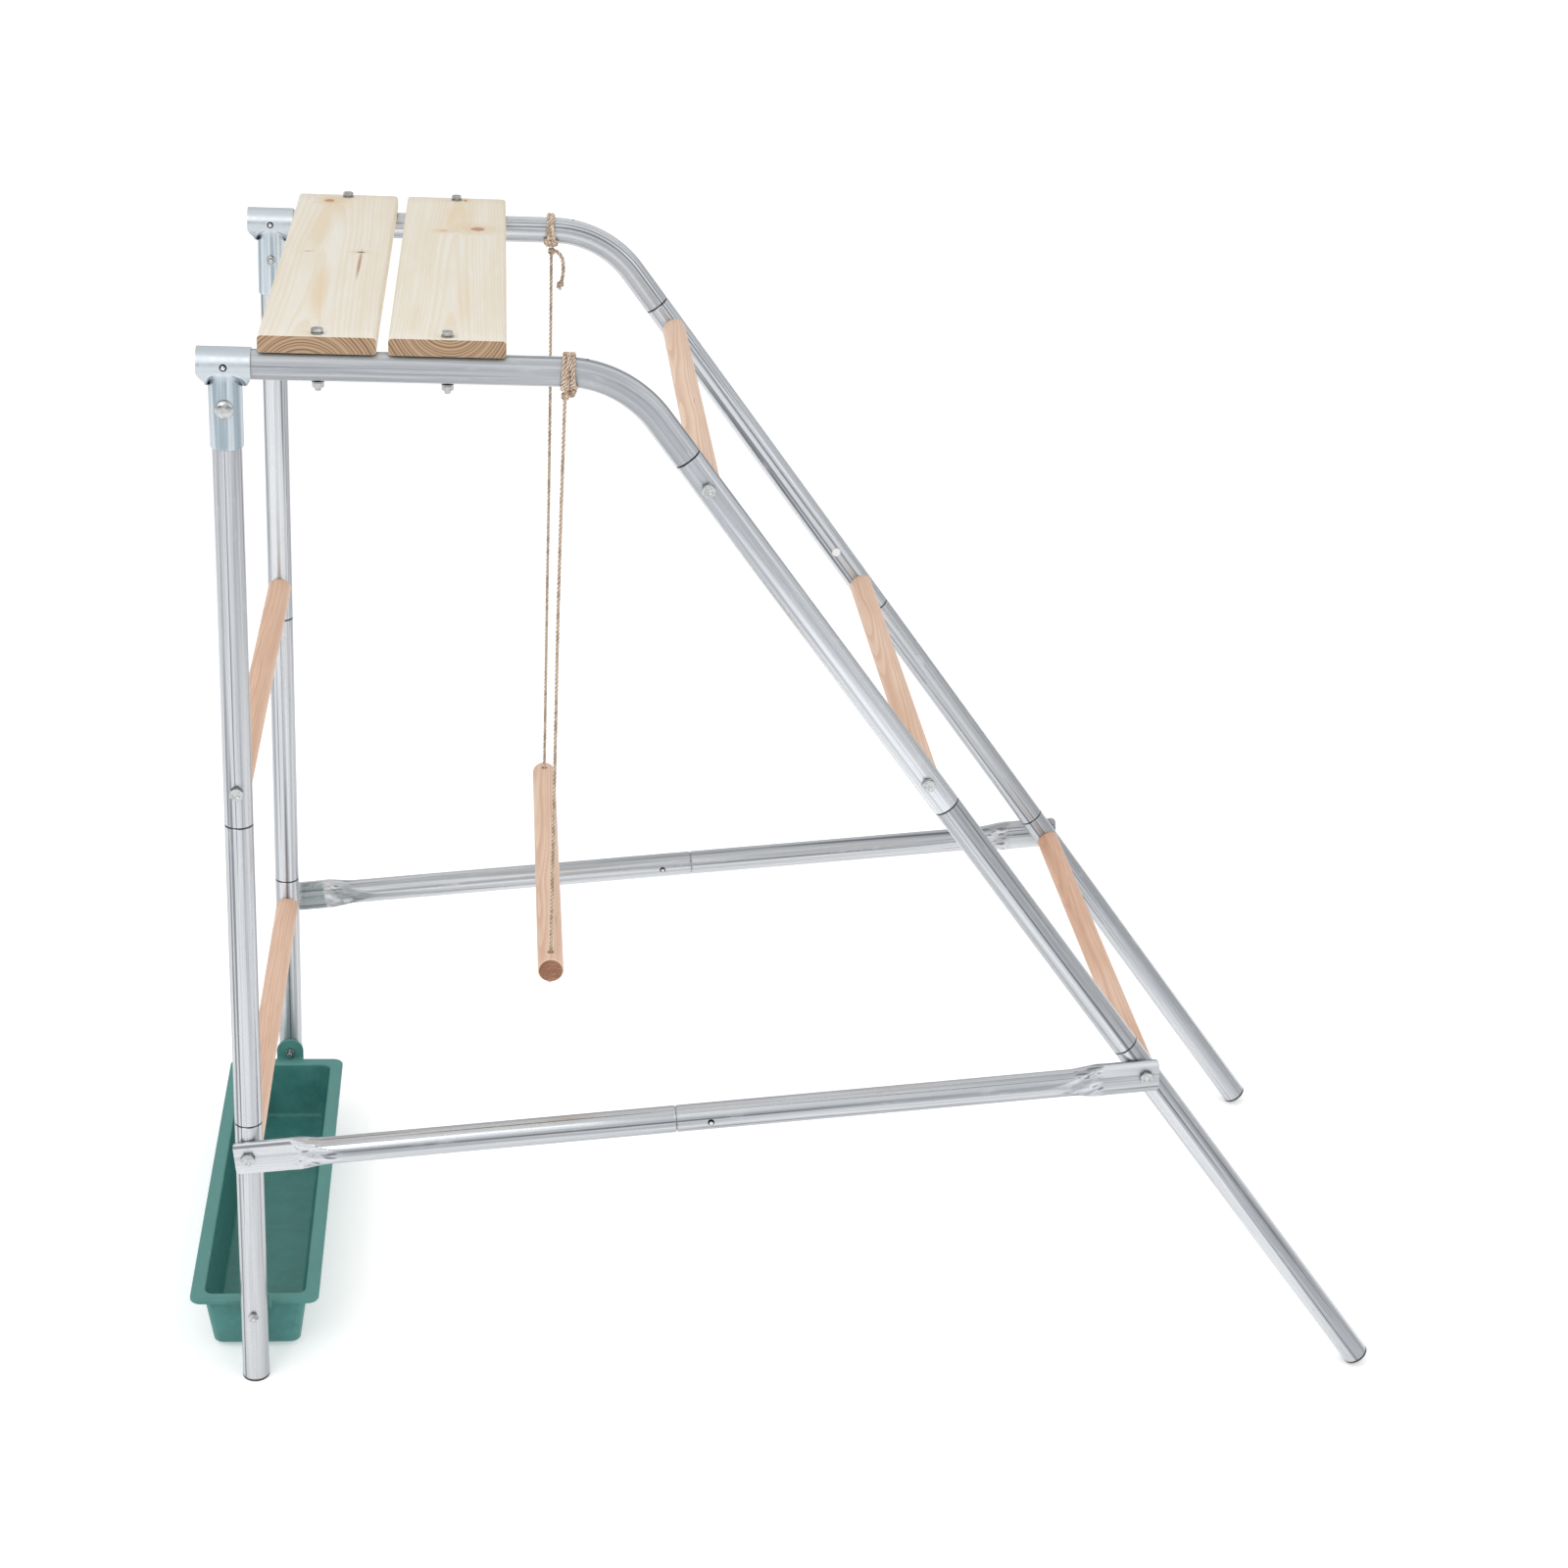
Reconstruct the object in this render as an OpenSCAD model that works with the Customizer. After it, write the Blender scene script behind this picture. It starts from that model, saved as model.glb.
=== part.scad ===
// Climbing frame with a ladder leg, a platform, a hanging bar and a planter.
// Units are millimetres. Posts stand at low X, the ladder leg slopes down to high X,
// and the near frame is at low Y. Z = 0 is the ground.

/* [Frame] */
// Distance between the near and the far frame, tube axis to tube axis
frame_w = 770; // [600:5:950]
// Height of the top tubes' axes
top_h = 1515; // [1400:5:1900]
// Distance from the posts to the corner where top tube and leg axes meet
corner_x = 494; // [460:1:700]
// Slope of the ladder leg below the horizontal, in degrees
leg_angle = 52.5; // [48:0.5:60]
// Centre-line radius of the bend between top tube and leg
bend_r = 150; // [110:5:180]

/* [Tubes] */
// Outer diameter of every frame tube
tube_od = 38; // [32:1:45]
// Wall of every frame tube
tube_wall = 1.5; // [1.2:0.1:2]
// Length of the reduced end that slides into the next tube
spigot_len = 62; // [50:1:70]
// Radial clearance between a reduced end and the tube around it
spigot_gap = 0.2; // [0.1:0.05:0.4]
// Gap left at each tube joint
joint_gap = 0.8; // [0.4:0.1:1.5]
// Vent hole in each top tube, diameter
vent_d = 5; // [3:1:8]

/* [Tube joints and rungs] */
// Height of the upper joint in each post
post_joint_high = 888; // [850:1:900]
// Height of the lower joint in each post
post_joint_low = 429; // [420:1:460]
// Leg joints and rungs, measured down the leg from the corner: end of the bent tube
leg_joint_a = 137; // [130:1:150]
// Second leg joint
leg_joint_b = 746; // [740:1:760]
// Third leg joint
leg_joint_c = 1215; // [1205:1:1225]
// First ladder rung
leg_rung_a = 182; // [180:1:190]
// Second ladder rung
leg_rung_b = 697; // [692:1:715]
// Third ladder rung, which shares its bolts with the braces
leg_rung_c = 1265; // [1255:1:1275]
// Upper rung between the posts
post_rung_high = 940; // [910:1:942]
// Lower rung between the posts, which shares its bolts with the braces
post_rung_low = 382; // [370:1:400]
// Diameter of the wooden rungs
rung_d = 35; // [28:1:36]

/* [Braces] */
// Length of the shorter brace half, from its bolt to the joint
brace_short = 600; // [500:5:620]
// Height of the flattened brace ends
plate_h = 50; // [42:1:54]
// Thickness of the flattened brace ends
plate_t = 5; // [4:0.5:8]
// Length of the flattened part beyond the bolt
plate_len = 60; // [50:1:80]
// Length over which the flattened end swells to the full tube
swell_len = 90; // [60:5:120]

/* [Deck] */
// Length of the deck boards
board_l = 800; // [700:5:900]
// Width of a deck board
board_w = 146; // [120:1:150]
// Thickness of a deck board
board_t = 22; // [18:1:28]
// Near edge of the first board, from the posts
board_x = 41; // [38:1:50]
// Gap between the two boards
board_gap = 14; // [6:1:20]

/* [Hanging bar] */
// Diameter of the hanging bar
bar_d = 36; // [30:1:38]
// Length of the hanging bar
bar_l = 680; // [600:5:690]
// Height of the hanging bar's axis
bar_h = 643; // [600:1:700]
// Distance of the ropes from each end of the bar
bar_hole_inset = 22; // [18:1:40]
// Distance of the ropes from the posts
rope_x = 418; // [405:1:420]
// Diameter of the rope
rope_d = 6; // [5:0.5:8]

/* [Planter] */
// Width of the planter over its rim
planter_w = 186; // [150:1:200]
// Width of the planter's rim flange
rim_w = 20; // [16:1:26]
// Height of the planter
planter_deep = 95; // [80:1:98]
// Height of the planter's rim above the ground
planter_top = 105; // [100:1:120]
// Wall of the planter
planter_wall = 3; // [2.5:0.5:4]

/* [Hidden] */
$fn = 64;

tube_r = tube_od / 2;
bore_r = tube_r - tube_wall;
spigot_r = bore_r - spigot_gap;
neck_len = 2.5;
half_w = frame_w / 2;
near = -1;
far = 1;

// Bend and leg
bend_tan = bend_r * tan(leg_angle / 2);
bend_x = corner_x - bend_tan;
leg_cap = 4;
vent_along = 28;
leg_end = (top_h - tube_r * cos(leg_angle)) / sin(leg_angle);
leg_end_x = corner_x + leg_end * cos(leg_angle) + tube_r * sin(leg_angle);
function leg_x(s) = corner_x + s * cos(leg_angle);
function leg_z(s) = top_h - s * sin(leg_angle);

// Bracket
sleeve_gap = 0.15;
sleeve_wall = 2;
sleeve_in = tube_r + sleeve_gap;
sleeve_out = sleeve_in + sleeve_wall;
sleeve_left = -34;
sleeve_right = 33;
sleeve_low = top_h - 106;
sleeve_seam = 6;
post_top = top_h - tube_r - 3;
bracket_bolt_z = top_h - 53;

// Bolts
bolt_d = 10;
bolt_hole = 10.6;
pilot_r = 5.1;
head_af = 17;
head_h = 6.4;
small_bolt_d = 8;
small_hole = 8.6;
small_af = 13;
small_head_h = 5.3;
nut_h = 6.8;
washer_d = 16;
washer_t = 1.6;
screw_reach = 60;
seat_gap = 0.05;

// Wood
rung_seat = 0.3;
chamfer = 1.5;
board_round = 4;

// Brace, drawn along its own line from the first bolt to the second
plate_end = 19;
brace_y = -(tube_r + plate_t / 2 + 0.1);
brace_run = leg_x(leg_rung_c);
brace_rise = leg_z(leg_rung_c) - post_rung_low;
brace_len = sqrt(brace_run * brace_run + brace_rise * brace_rise);
brace_tilt = atan2(brace_rise, brace_run);

// Snap buttons
button_r = 4;
button_hole_r = 4.15;
button_from_joint = 48;
button_tip = 3;
leaf_t = 1.2;
leaf_w = 10;
leaf_l = 30;
spring_l = 56;
spring_hook = 12;
brace_seat = leaf_seat(spigot_r - tube_wall);
bracket_seat = leaf_seat(bore_r);
// How far a flat leaf lies from the axis inside a round bore
function leaf_seat(bore) = sqrt(pow(bore - 0.1, 2) - pow(leaf_w / 2, 2));

// Rope
knot_r = rope_d;
tie_near_x = rope_x + 7;
tie_far_x = rope_x - 3;
tie_wraps_near = 3;
tie_wraps_far = 2;
tie_r = tube_r + rope_d / 2 + 0.6;
knot_gap = 0.4;
swing_z = top_h - tie_r - rope_d / 2 - knot_gap - knot_r;
rope_foot_y = bar_l / 2 - bar_hole_inset;
rope_bend_z = bar_h + bar_d / 2 + rope_d;
rope_hole_d = rope_d + 3;
rope_low_z = bar_h - bar_d / 2 - sqrt(pow(knot_r + 0.3, 2) - pow(rope_hole_d / 2, 2));
// Loose end of the far tie, from the posts, along the tube and up from the ground
tail_pts = [[412, 372, 1489], [419, 371, 1488], [425, 369, 1486], [430, 367, 1481],
    [433, 366, 1474], [434, 366, 1466], [434, 366, 1457], [433, 366, 1448], [431, 366, 1440]];
tail_knot = [430, 366, 1437];
tail_knot_r = 5;

// Planter
planter_x = -4;
rim_t = 7;
planter_end = half_w - tube_r - 14;
ear_r = 22;
ear_t = 5;
ear_z = planter_top + washer_d / 2 + 0.5;
taper = 13;
corner_r = 16;

// The row's origin is under the middle of the whole frame
x_low = planter_x - planter_w / 2;
mid_x = (x_low + leg_end_x) / 2;

galv = [0.78, 0.80, 0.82];
zinc = [0.86, 0.87, 0.88];
dowel = [0.88, 0.71, 0.60];
pine = [0.90, 0.87, 0.79];
jute = [0.74, 0.60, 0.46];
teal = [0.26, 0.49, 0.47];
black = [0.12, 0.12, 0.13];

// Puts a piece drawn around the near frame's plane on the near or the far side
module on_side(side) {
    translate([-mid_x, 0, 0])
        mirror([0, side == far ? 1 : 0, 0])
            translate([0, -half_w, 0])
                children();
}

// Moves from the frame's own X, measured from the posts, to the row's X
module in_frame() {
    translate([-mid_x, 0, 0]) children();
}

// Lays a piece drawn upwards along +Z on the leg, rising from distance s
module on_leg(s) {
    translate([leg_x(s), 0, leg_z(s)])
        rotate([0, leg_angle - 90, 0])
            children();
}

// Lays a piece drawn along +X on the brace line of one side
module on_brace(side) {
    on_side(side)
        translate([0, brace_y, post_rung_low])
            rotate([0, -brace_tilt, 0])
                if (side == near) {
                    children();
                } else {
                    translate([brace_len, 0, 0]) mirror([1, 0, 0]) children();
                }
}

// The bend's own frame: its centre line is an arc round Z that starts at +X
module in_bend() {
    translate([bend_x, 0, top_h - bend_r])
        rotate(a = -120, v = [1, 1, 1])
            children();
}

// A rod along Y, from y0 to y1
module rod_y(y0, y1, r) {
    translate([0, y0, 0]) rotate([-90, 0, 0]) cylinder(h = y1 - y0, r = r);
}

// A tube along Z with a reduced end on top, which fits into the tube above
module tube_section(len, spigot) {
    wall_in = spigot_r - tube_wall;
    rotate_extrude()
        polygon(spigot
            ? [[bore_r, 0], [tube_r, 0], [tube_r, len - neck_len], [spigot_r, len],
                [spigot_r, len + spigot_len], [wall_in, len + spigot_len],
                [wall_in, len], [bore_r, len - neck_len]]
            : [[bore_r, 0], [tube_r, 0], [tube_r, len], [bore_r, len]]);
}

// Cross holes through a tube, for a bolt along Y
module cross_hole(d) {
    rod_y(-tube_od, tube_od, d / 2);
}

module button_hole() {
    rod_y(-tube_od, 0, button_hole_r);
}

// The run of the top tube as a solid rod: straight, bend, then a stretch of leg
module bent_rod(r, over) {
    in_bend() {
        translate([bend_r, 0, 0])
            rotate([90, 0, 0])
                cylinder(h = bend_x - sleeve_left - sleeve_wall + over, r = r);
        rotate_extrude(angle = leg_angle, $fn = 96)
            translate([bend_r, 0])
                circle(r = r);
        rotate([0, 0, leg_angle])
            translate([bend_r, 0, 0])
                rotate([-90, 0, 0])
                    cylinder(h = leg_joint_a - joint_gap - bend_tan + over, r = r);
    }
}

module top_tube(side) {
    color(galv)
    on_side(side)
    difference() {
        bent_rod(tube_r, 0);
        bent_rod(bore_r, 1);
        translate([0, 0, top_h])
            mirror([0, side == far ? 1 : 0, 0])
                button_hole();
        translate([bend_x + vent_along, 0, top_h])
            cylinder(h = tube_od, d = vent_d);
        for (x = board_bolts_x())
            translate([x, 0, top_h - tube_od])
                cylinder(h = tube_od * 2, d = small_hole);
    }
}

// A leg tube from the joint at s0 down to s1, drilled for rung bolts at each of drills
module leg_tube(side, s0, s1, drills) {
    len = s1 - s0;
    color(galv)
    on_side(side)
    difference() {
        on_leg(s1) tube_section(len, true);
        for (s = drills)
            translate([leg_x(s), 0, leg_z(s)]) cross_hole(bolt_hole);
    }
}

module leg_upper(side) {
    leg_tube(side, leg_joint_a, leg_joint_b - joint_gap, [leg_rung_a, leg_rung_b]);
}

module leg_middle(side) {
    leg_tube(side, leg_joint_b, leg_joint_c - joint_gap, [leg_rung_b]);
}

module leg_foot(side) {
    leg_tube(side, leg_joint_c, leg_end - leg_cap, [leg_rung_c]);
}

// A post tube from z0 up to the joint at z1
module post_tube(side, z0, z1, spigot, drills) {
    color(galv)
    on_side(side)
    difference() {
        translate([0, 0, z0]) tube_section(z1 - z0, spigot);
        for (h = drills)
            translate([0, 0, h[0]]) cross_hole(h[1]);
    }
}

module post_upper(side) {
    post_tube(side, post_joint_high + joint_gap, post_top, false,
        [[post_rung_high, bolt_hole], [bracket_bolt_z, small_hole]]);
}

module post_middle(side) {
    post_tube(side, post_joint_low + joint_gap, post_joint_high, true,
        [[post_rung_high, bolt_hole]]);
}

module post_foot(side) {
    post_tube(side, leg_cap, post_joint_low, true,
        [[post_rung_low, bolt_hole], [ear_z, small_hole]]);
}

// Pressed saddle that hangs on the top tube and grips the post
module tee_bracket(side) {
    color(zinc)
    on_side(side)
    difference() {
        union() {
            translate([sleeve_left, 0, top_h])
                rotate([0, 90, 0])
                    difference() {
                        cylinder(h = sleeve_right - sleeve_left, r = sleeve_out);
                        translate([0, 0, -1])
                            cylinder(h = tube_od * 3, r = sleeve_in);
                        translate([0, -tube_od, -1])
                            cube([tube_od, tube_od * 2, tube_od * 3]);
                    }
            for (y = [-sleeve_out, sleeve_in])
                translate([0, y + sleeve_wall, top_h])
                    rotate([90, 0, 0])
                        linear_extrude(sleeve_wall)
                            polygon([[sleeve_left, 0], [sleeve_right, 0],
                                [sleeve_right, -tube_r + 2],
                                [sleeve_out - 5, sleeve_low + 72 - top_h],
                                [-sleeve_out + 5, sleeve_low + 72 - top_h],
                                [sleeve_left, -tube_r + 2]]);
            translate([0, 0, sleeve_low])
                difference() {
                    cylinder(h = 85, r = sleeve_out);
                    translate([0, 0, -1]) cylinder(h = 90, r = sleeve_in);
                    translate([-tube_od, -sleeve_seam / 2, -1])
                        cube([tube_od * 2, sleeve_seam, 90]);
                }
        }
        translate([0, 0, bracket_bolt_z]) cross_hole(small_hole);
        translate([0, 0, top_h])
            mirror([0, side == far ? 1 : 0, 0])
                button_hole();
    }
}

// A flattened tube end: plate around the bolt, then the swell to the full tube
module brace_end() {
    difference() {
        union() {
            translate([-plate_end, -plate_t / 2, -plate_h / 2])
                cube([plate_end + plate_len, plate_t, plate_h]);
            hull() {
                translate([plate_len, -plate_t / 2, -plate_h / 2])
                    cube([0.01, plate_t, plate_h]);
                translate([plate_len + swell_len, 0, 0])
                    rotate([0, 90, 0])
                        cylinder(h = 0.01, r = tube_r, $fn = 32);
            }
        }
        hull() {
            translate([plate_len + 10, -0.5, -plate_h / 2 + 4])
                cube([0.01, 1, plate_h - 8]);
            translate([plate_len + swell_len, 0, 0])
                rotate([0, 90, 0])
                    cylinder(h = 0.02, r = bore_r, $fn = 32);
        }
        rod_y(-plate_t, plate_t, bolt_hole / 2);
    }
}

module brace_short(side) {
    start = plate_len + swell_len;
    color(galv)
    on_brace(side)
    difference() {
        union() {
            brace_end();
            translate([start, 0, 0])
                rotate([0, 90, 0])
                    tube_section(brace_short - start, true);
        }
        translate([brace_short + button_from_joint, 0, 0])
            mirror([0, side == far ? 1 : 0, 0])
                button_hole();
    }
}

module brace_long(side) {
    start = brace_short + joint_gap;
    color(galv)
    on_brace(side)
    difference() {
        union() {
            translate([brace_len, 0, 0]) mirror([1, 0, 0]) brace_end();
            translate([start, 0, 0])
                rotate([0, 90, 0])
                    tube_section(brace_len - plate_len - swell_len - start, false);
        }
        translate([brace_short + button_from_joint, 0, 0])
            mirror([0, side == far ? 1 : 0, 0])
                button_hole();
    }
}

// Rubber plug: a cap over the tube's end and a hollow stub inside it
module plug() {
    rotate_extrude()
        polygon([[0, 0], [tube_r - 1, 0], [tube_r, 1], [tube_r, leg_cap],
            [bore_r - 0.1, leg_cap], [bore_r - 0.1, leg_cap + 18],
            [bore_r - 3, leg_cap + 18], [bore_r - 3, leg_cap], [0, leg_cap]]);
}

module post_plug(side) {
    color(black) on_side(side) plug();
}

module leg_plug(side) {
    color(black) on_side(side) on_leg(leg_end) plug();
}

// A dowel along Y, coped over both tubes, with a pilot hole in each end
module rung() {
    reach = half_w - sqrt(max(0, tube_r * tube_r - rung_d * rung_d / 4)) + 2;
    difference() {
        rod_y(-reach, reach, rung_d / 2);
        for (s = [near, far])
            translate([0, s * half_w, 0])
                rod_y(-tube_r - screw_reach, tube_r + screw_reach, pilot_r);
        children();
    }
}

module post_rung(z) {
    color(dowel)
    in_frame()
    translate([0, 0, z])
        rung()
            for (s = [near, far])
                translate([0, s * half_w, -tube_od])
                    cylinder(h = tube_od * 2, r = tube_r + rung_seat);
}

module ladder_rung(dist) {
    color(dowel)
    in_frame()
    translate([leg_x(dist), 0, leg_z(dist)])
        rung()
            for (s = [near, far])
                translate([0, s * half_w, 0])
                    rotate([0, leg_angle - 90, 0])
                        translate([0, 0, -tube_od])
                            cylinder(h = tube_od * 2, r = tube_r + rung_seat);
}

// A hexagon head on the outer side, at distance seat from the tube's axis, with its shank
module outer_bolt(seat, reach, d, af, h) {
    translate([0, -seat - h, 0])
        rotate([-90, 0, 0])
            cylinder(h = h, d = af / cos(30), $fn = 6);
    rod_y(-seat - h / 2, reach, d / 2);
}

module rung_bolts() {
    plain = tube_r + seat_gap;
    stacked = tube_r + plate_t + 0.1 + seat_gap;
    reach = tube_r + screw_reach - 5;
    color(zinc)
    for (s = [near, far]) {
        for (p = [[leg_x(leg_rung_a), leg_z(leg_rung_a), plain],
                [leg_x(leg_rung_b), leg_z(leg_rung_b), plain],
                [leg_x(leg_rung_c), leg_z(leg_rung_c), stacked],
                [0, post_rung_high, plain], [0, post_rung_low, stacked]])
            on_side(s)
                translate([p[0], 0, p[1]])
                    outer_bolt(p[2] + 0.1, reach, bolt_d, head_af, head_h);
    }
}

module bracket_bolts() {
    color(zinc)
    for (s = [near, far])
        on_side(s)
            translate([0, 0, bracket_bolt_z]) {
                translate([0, -sleeve_out - 0.1, 0])
                    rotate([90, 0, 0])
                        rotate_extrude()
                            polygon([[0, 0], [12, 0], [12, 1.5], [10.5, 3.6],
                                [7.5, 5.2], [4, 6], [0, 6.2]]);
                rod_y(-sleeve_out - 1, sleeve_out + washer_t + nut_h + 3, small_bolt_d / 2);
            }
}

// A washer and nut around a bolt along Y, seated at y = seat
module nut_y(seat) {
    translate([0, seat, 0])
        rotate([-90, 0, 0])
            difference() {
                union() {
                    cylinder(h = washer_t, d = washer_d);
                    translate([0, 0, washer_t])
                        cylinder(h = nut_h, d = small_af / cos(30), $fn = 6);
                }
                translate([0, 0, -1])
                    cylinder(h = nut_h * 2, d = small_bolt_d + 0.1);
            }
}

module bracket_nuts() {
    color(zinc)
    for (s = [near, far])
        on_side(s)
            translate([0, 0, bracket_bolt_z])
                nut_y(sleeve_out + seat_gap);
}

function board_bolts_x() = [for (i = [0, 1])
    board_x + board_w / 2 + i * (board_w + board_gap)];

deck_z = top_h + tube_r + 0.1;

// A board along Y with rounded long edges, drilled at both ends
module deck_board(i) {
    x = board_x + i * (board_w + board_gap);
    color(pine)
    in_frame()
    difference() {
        translate([x, board_l / 2, deck_z])
            rotate([90, 0, 0])
                linear_extrude(board_l)
                    union() {
                        for (cx = [board_round, board_w - board_round])
                            for (cz = [board_round, board_t - board_round])
                                translate([cx, cz]) circle(r = board_round);
                        translate([board_round, 0])
                            square([board_w - 2 * board_round, board_t]);
                        translate([0, board_round])
                            square([board_w, board_t - 2 * board_round]);
                    }
        for (s = [near, far])
            translate([board_bolts_x()[i], s * half_w, deck_z - 1])
                cylinder(h = board_t + 2, d = small_hole);
    }
}

// Repeats a piece on the axis of each deck bolt
module at_deck_bolts() {
    for (s = [near, far])
        for (x = board_bolts_x())
            in_frame() translate([x, s * half_w, 0]) children();
}

module deck_bolts() {
    top = deck_z + board_t + washer_t + 0.1;
    low = top_h - tube_r - washer_t - nut_h - 4;
    color(zinc)
    at_deck_bolts() {
        translate([0, 0, top]) cylinder(h = small_head_h, d = small_af / cos(30), $fn = 6);
        translate([0, 0, low]) cylinder(h = top - low + 1, d = small_bolt_d);
    }
}

module washer_z(z) {
    translate([0, 0, z])
        difference() {
            cylinder(h = washer_t, d = washer_d);
            translate([0, 0, -1]) cylinder(h = washer_t + 2, d = small_bolt_d + 0.4);
        }
}

module deck_washers() {
    color(zinc)
    at_deck_bolts() {
        washer_z(deck_z + board_t + seat_gap);
        washer_z(top_h - tube_r - washer_t - seat_gap);
    }
}

module deck_nuts() {
    top = top_h - tube_r - washer_t - 2 * seat_gap;
    color(zinc)
    at_deck_bolts()
        translate([0, 0, top - nut_h])
            difference() {
                cylinder(h = nut_h, d = small_af / cos(30), $fn = 6);
                translate([0, 0, -1]) cylinder(h = nut_h + 2, d = small_bolt_d + 0.1);
            }
}

// A slab with round corners, standing on z = 0
module round_slab(w, l, r, h) {
    linear_extrude(h)
        hull()
            for (x = [-1, 1])
                for (y = [-1, 1])
                    translate([x * (w / 2 - r), y * (l / 2 - r)]) circle(r = r, $fn = 32);
}

// A tapered trough, wider at the top by taper on each side
module trough(w, l, r, h) {
    hull() {
        round_slab(w - 2 * taper, l - 2 * taper, r, 0.01);
        translate([0, 0, h]) round_slab(w, l, r, 0.01);
    }
}

module planter() {
    low = planter_top - planter_deep;
    body_w = planter_w - 2 * rim_w + 2 * planter_wall;
    body_l = 2 * planter_end - 2 * rim_w + 2 * planter_wall;
    post_face = half_w - tube_r - 0.3;
    color(teal)
    in_frame()
    difference() {
        union() {
            translate([planter_x, 0, low])
                trough(body_w, body_l, corner_r, planter_deep - 0.02);
            translate([planter_x, 0, planter_top - rim_t])
                round_slab(planter_w, 2 * planter_end, corner_r, rim_t);
            for (s = [near, far]) {
                translate([0, s > 0 ? post_face - ear_t : -post_face, ear_z])
                    rod_y(0, ear_t, ear_r);
                translate([-ear_r, s > 0 ? planter_end - rim_w : -post_face,
                        planter_top - rim_t])
                    cube([2 * ear_r, post_face - planter_end + rim_w, rim_t]);
            }
        }
        translate([planter_x, 0, low + planter_wall])
            trough(body_w - 2 * planter_wall, body_l - 2 * planter_wall,
                corner_r - planter_wall, planter_deep);
        for (s = [near, far])
            translate([0, s * half_w, ear_z])
                rod_y(-tube_od, tube_od, small_hole / 2);
        translate([-ear_r - 1, -half_w, ear_z - ear_r - 1])
            cube([2 * ear_r + 2, frame_w, ear_r + 1 + planter_top - rim_t - ear_z]);
    }
}

module planter_bolts() {
    seat = tube_r + seat_gap;
    color(zinc)
    for (s = [near, far])
        on_side(s)
            translate([0, 0, ear_z])
                outer_bolt(seat, tube_r + ear_t + washer_t + nut_h + 5, small_bolt_d,
                    small_af, small_head_h);
}

module planter_nuts() {
    color(zinc)
    for (s = [near, far])
        on_side(s)
            translate([0, 0, ear_z])
                nut_y(tube_r + 0.3 + ear_t + seat_gap);
}

module trapeze_bar() {
    color(dowel)
    in_frame()
    translate([rope_x, 0, bar_h])
        difference() {
            rotate([90, 0, 0])
                translate([0, 0, -bar_l / 2])
                    rotate_extrude()
                        polygon([[0, 0], [bar_d / 2 - chamfer, 0], [bar_d / 2, chamfer],
                            [bar_d / 2, bar_l - chamfer], [bar_d / 2 - chamfer, bar_l],
                            [0, bar_l]]);
            for (s = [near, far])
                translate([0, s * rope_foot_y, -bar_d])
                    cylinder(h = bar_d * 2, d = rope_hole_d);
        }
}

// A rope from its knot under the top tube, down through the bar to the knot below it
module rope(side) {
    lean = atan2(half_w - rope_foot_y, swing_z - rope_bend_z);
    run = norm([half_w - rope_foot_y, swing_z - rope_bend_z]);
    color(jute)
    in_frame()
    mirror([0, side == far ? 1 : 0, 0]) {
        translate([rope_x, -half_w, swing_z]) sphere(r = knot_r);
        translate([rope_x, -half_w, swing_z])
            rotate([180 + lean, 0, 0])
                cylinder(h = run, d = rope_d);
        translate([rope_x, -rope_foot_y, rope_bend_z]) sphere(d = rope_d + 0.4);
        translate([rope_x, -rope_foot_y, rope_low_z])
            cylinder(h = rope_bend_z - rope_low_z, d = rope_d);
        translate([rope_x, -rope_foot_y, rope_low_z]) sphere(r = knot_r);
    }
}

// Rope wound round the top tube
module rope_tie(side, x, wraps) {
    pitch = rope_d * 0.9;
    color(jute)
    on_side(side)
    translate([x, 0, top_h])
        rotate([0, 90, 0])
            rotate_extrude()
                for (i = [0 : wraps - 1])
                    translate([tie_r, (i - (wraps - 1) / 2) * pitch])
                        circle(d = rope_d, $fn = 32);
}

// One ring of points round a route point, square to the route
function ring(p, dir, r, n) =
    let (u = cross(dir, [0, 1, 0]) / norm(cross(dir, [0, 1, 0])), v = cross(dir, u) / norm(dir))
    [for (k = [0 : n - 1]) p + r * (cos(360 * k / n) * u + sin(360 * k / n) * v)];

// A tube swept along the route's own points
module swept(pts, r, n) {
    last = len(pts) - 1;
    rings = [for (i = [0 : last])
        ring(pts[i], pts[min(i + 1, last)] - pts[max(i - 1, 0)], r, n)];
    verts = [for (rg = rings) for (p = rg) p];
    sides = [for (i = [0 : last - 1]) for (k = [0 : n - 1])
        [(i + 1) * n + k, (i + 1) * n + (k + 1) % n, i * n + (k + 1) % n, i * n + k]];
    caps = [[for (k = [0 : n - 1]) k], [for (k = [n - 1 : -1 : 0]) last * n + k]];
    polyhedron(verts, concat(sides, caps));
}

module rope_tail() {
    color(jute)
    in_frame() {
        swept(tail_pts, rope_d / 2, 8);
        translate(tail_knot) sphere(r = tail_knot_r);
    }
}

// A button with its leaf, drawn at the tube's axis, pointing to -Y
module snap_button(tip, seat) {
    color(zinc) {
        rod_y(-tip + button_r / 2, -seat + leaf_t / 2, button_r);
        translate([0, -tip + button_r / 2, 0])
            rotate([90, 0, 0])
                rotate_extrude()
                    polygon([[0, 0], [button_r, 0], [button_r - 0.8, 1.2], [2, 1.9], [0, 2]]);
        translate([-leaf_l / 2, -seat, -leaf_w / 2])
            cube([leaf_l, leaf_t, leaf_w]);
    }
}

// Puts a button on its brace, pointing to -Y on both sides
module at_brace_button(side) {
    on_brace(side)
        translate([brace_short + button_from_joint, 0, 0])
            mirror([0, side == far ? 1 : 0, 0])
                children();
}

module at_bracket_button(side) {
    on_side(side)
        translate([0, 0, top_h])
            mirror([0, side == far ? 1 : 0, 0])
                children();
}

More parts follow.
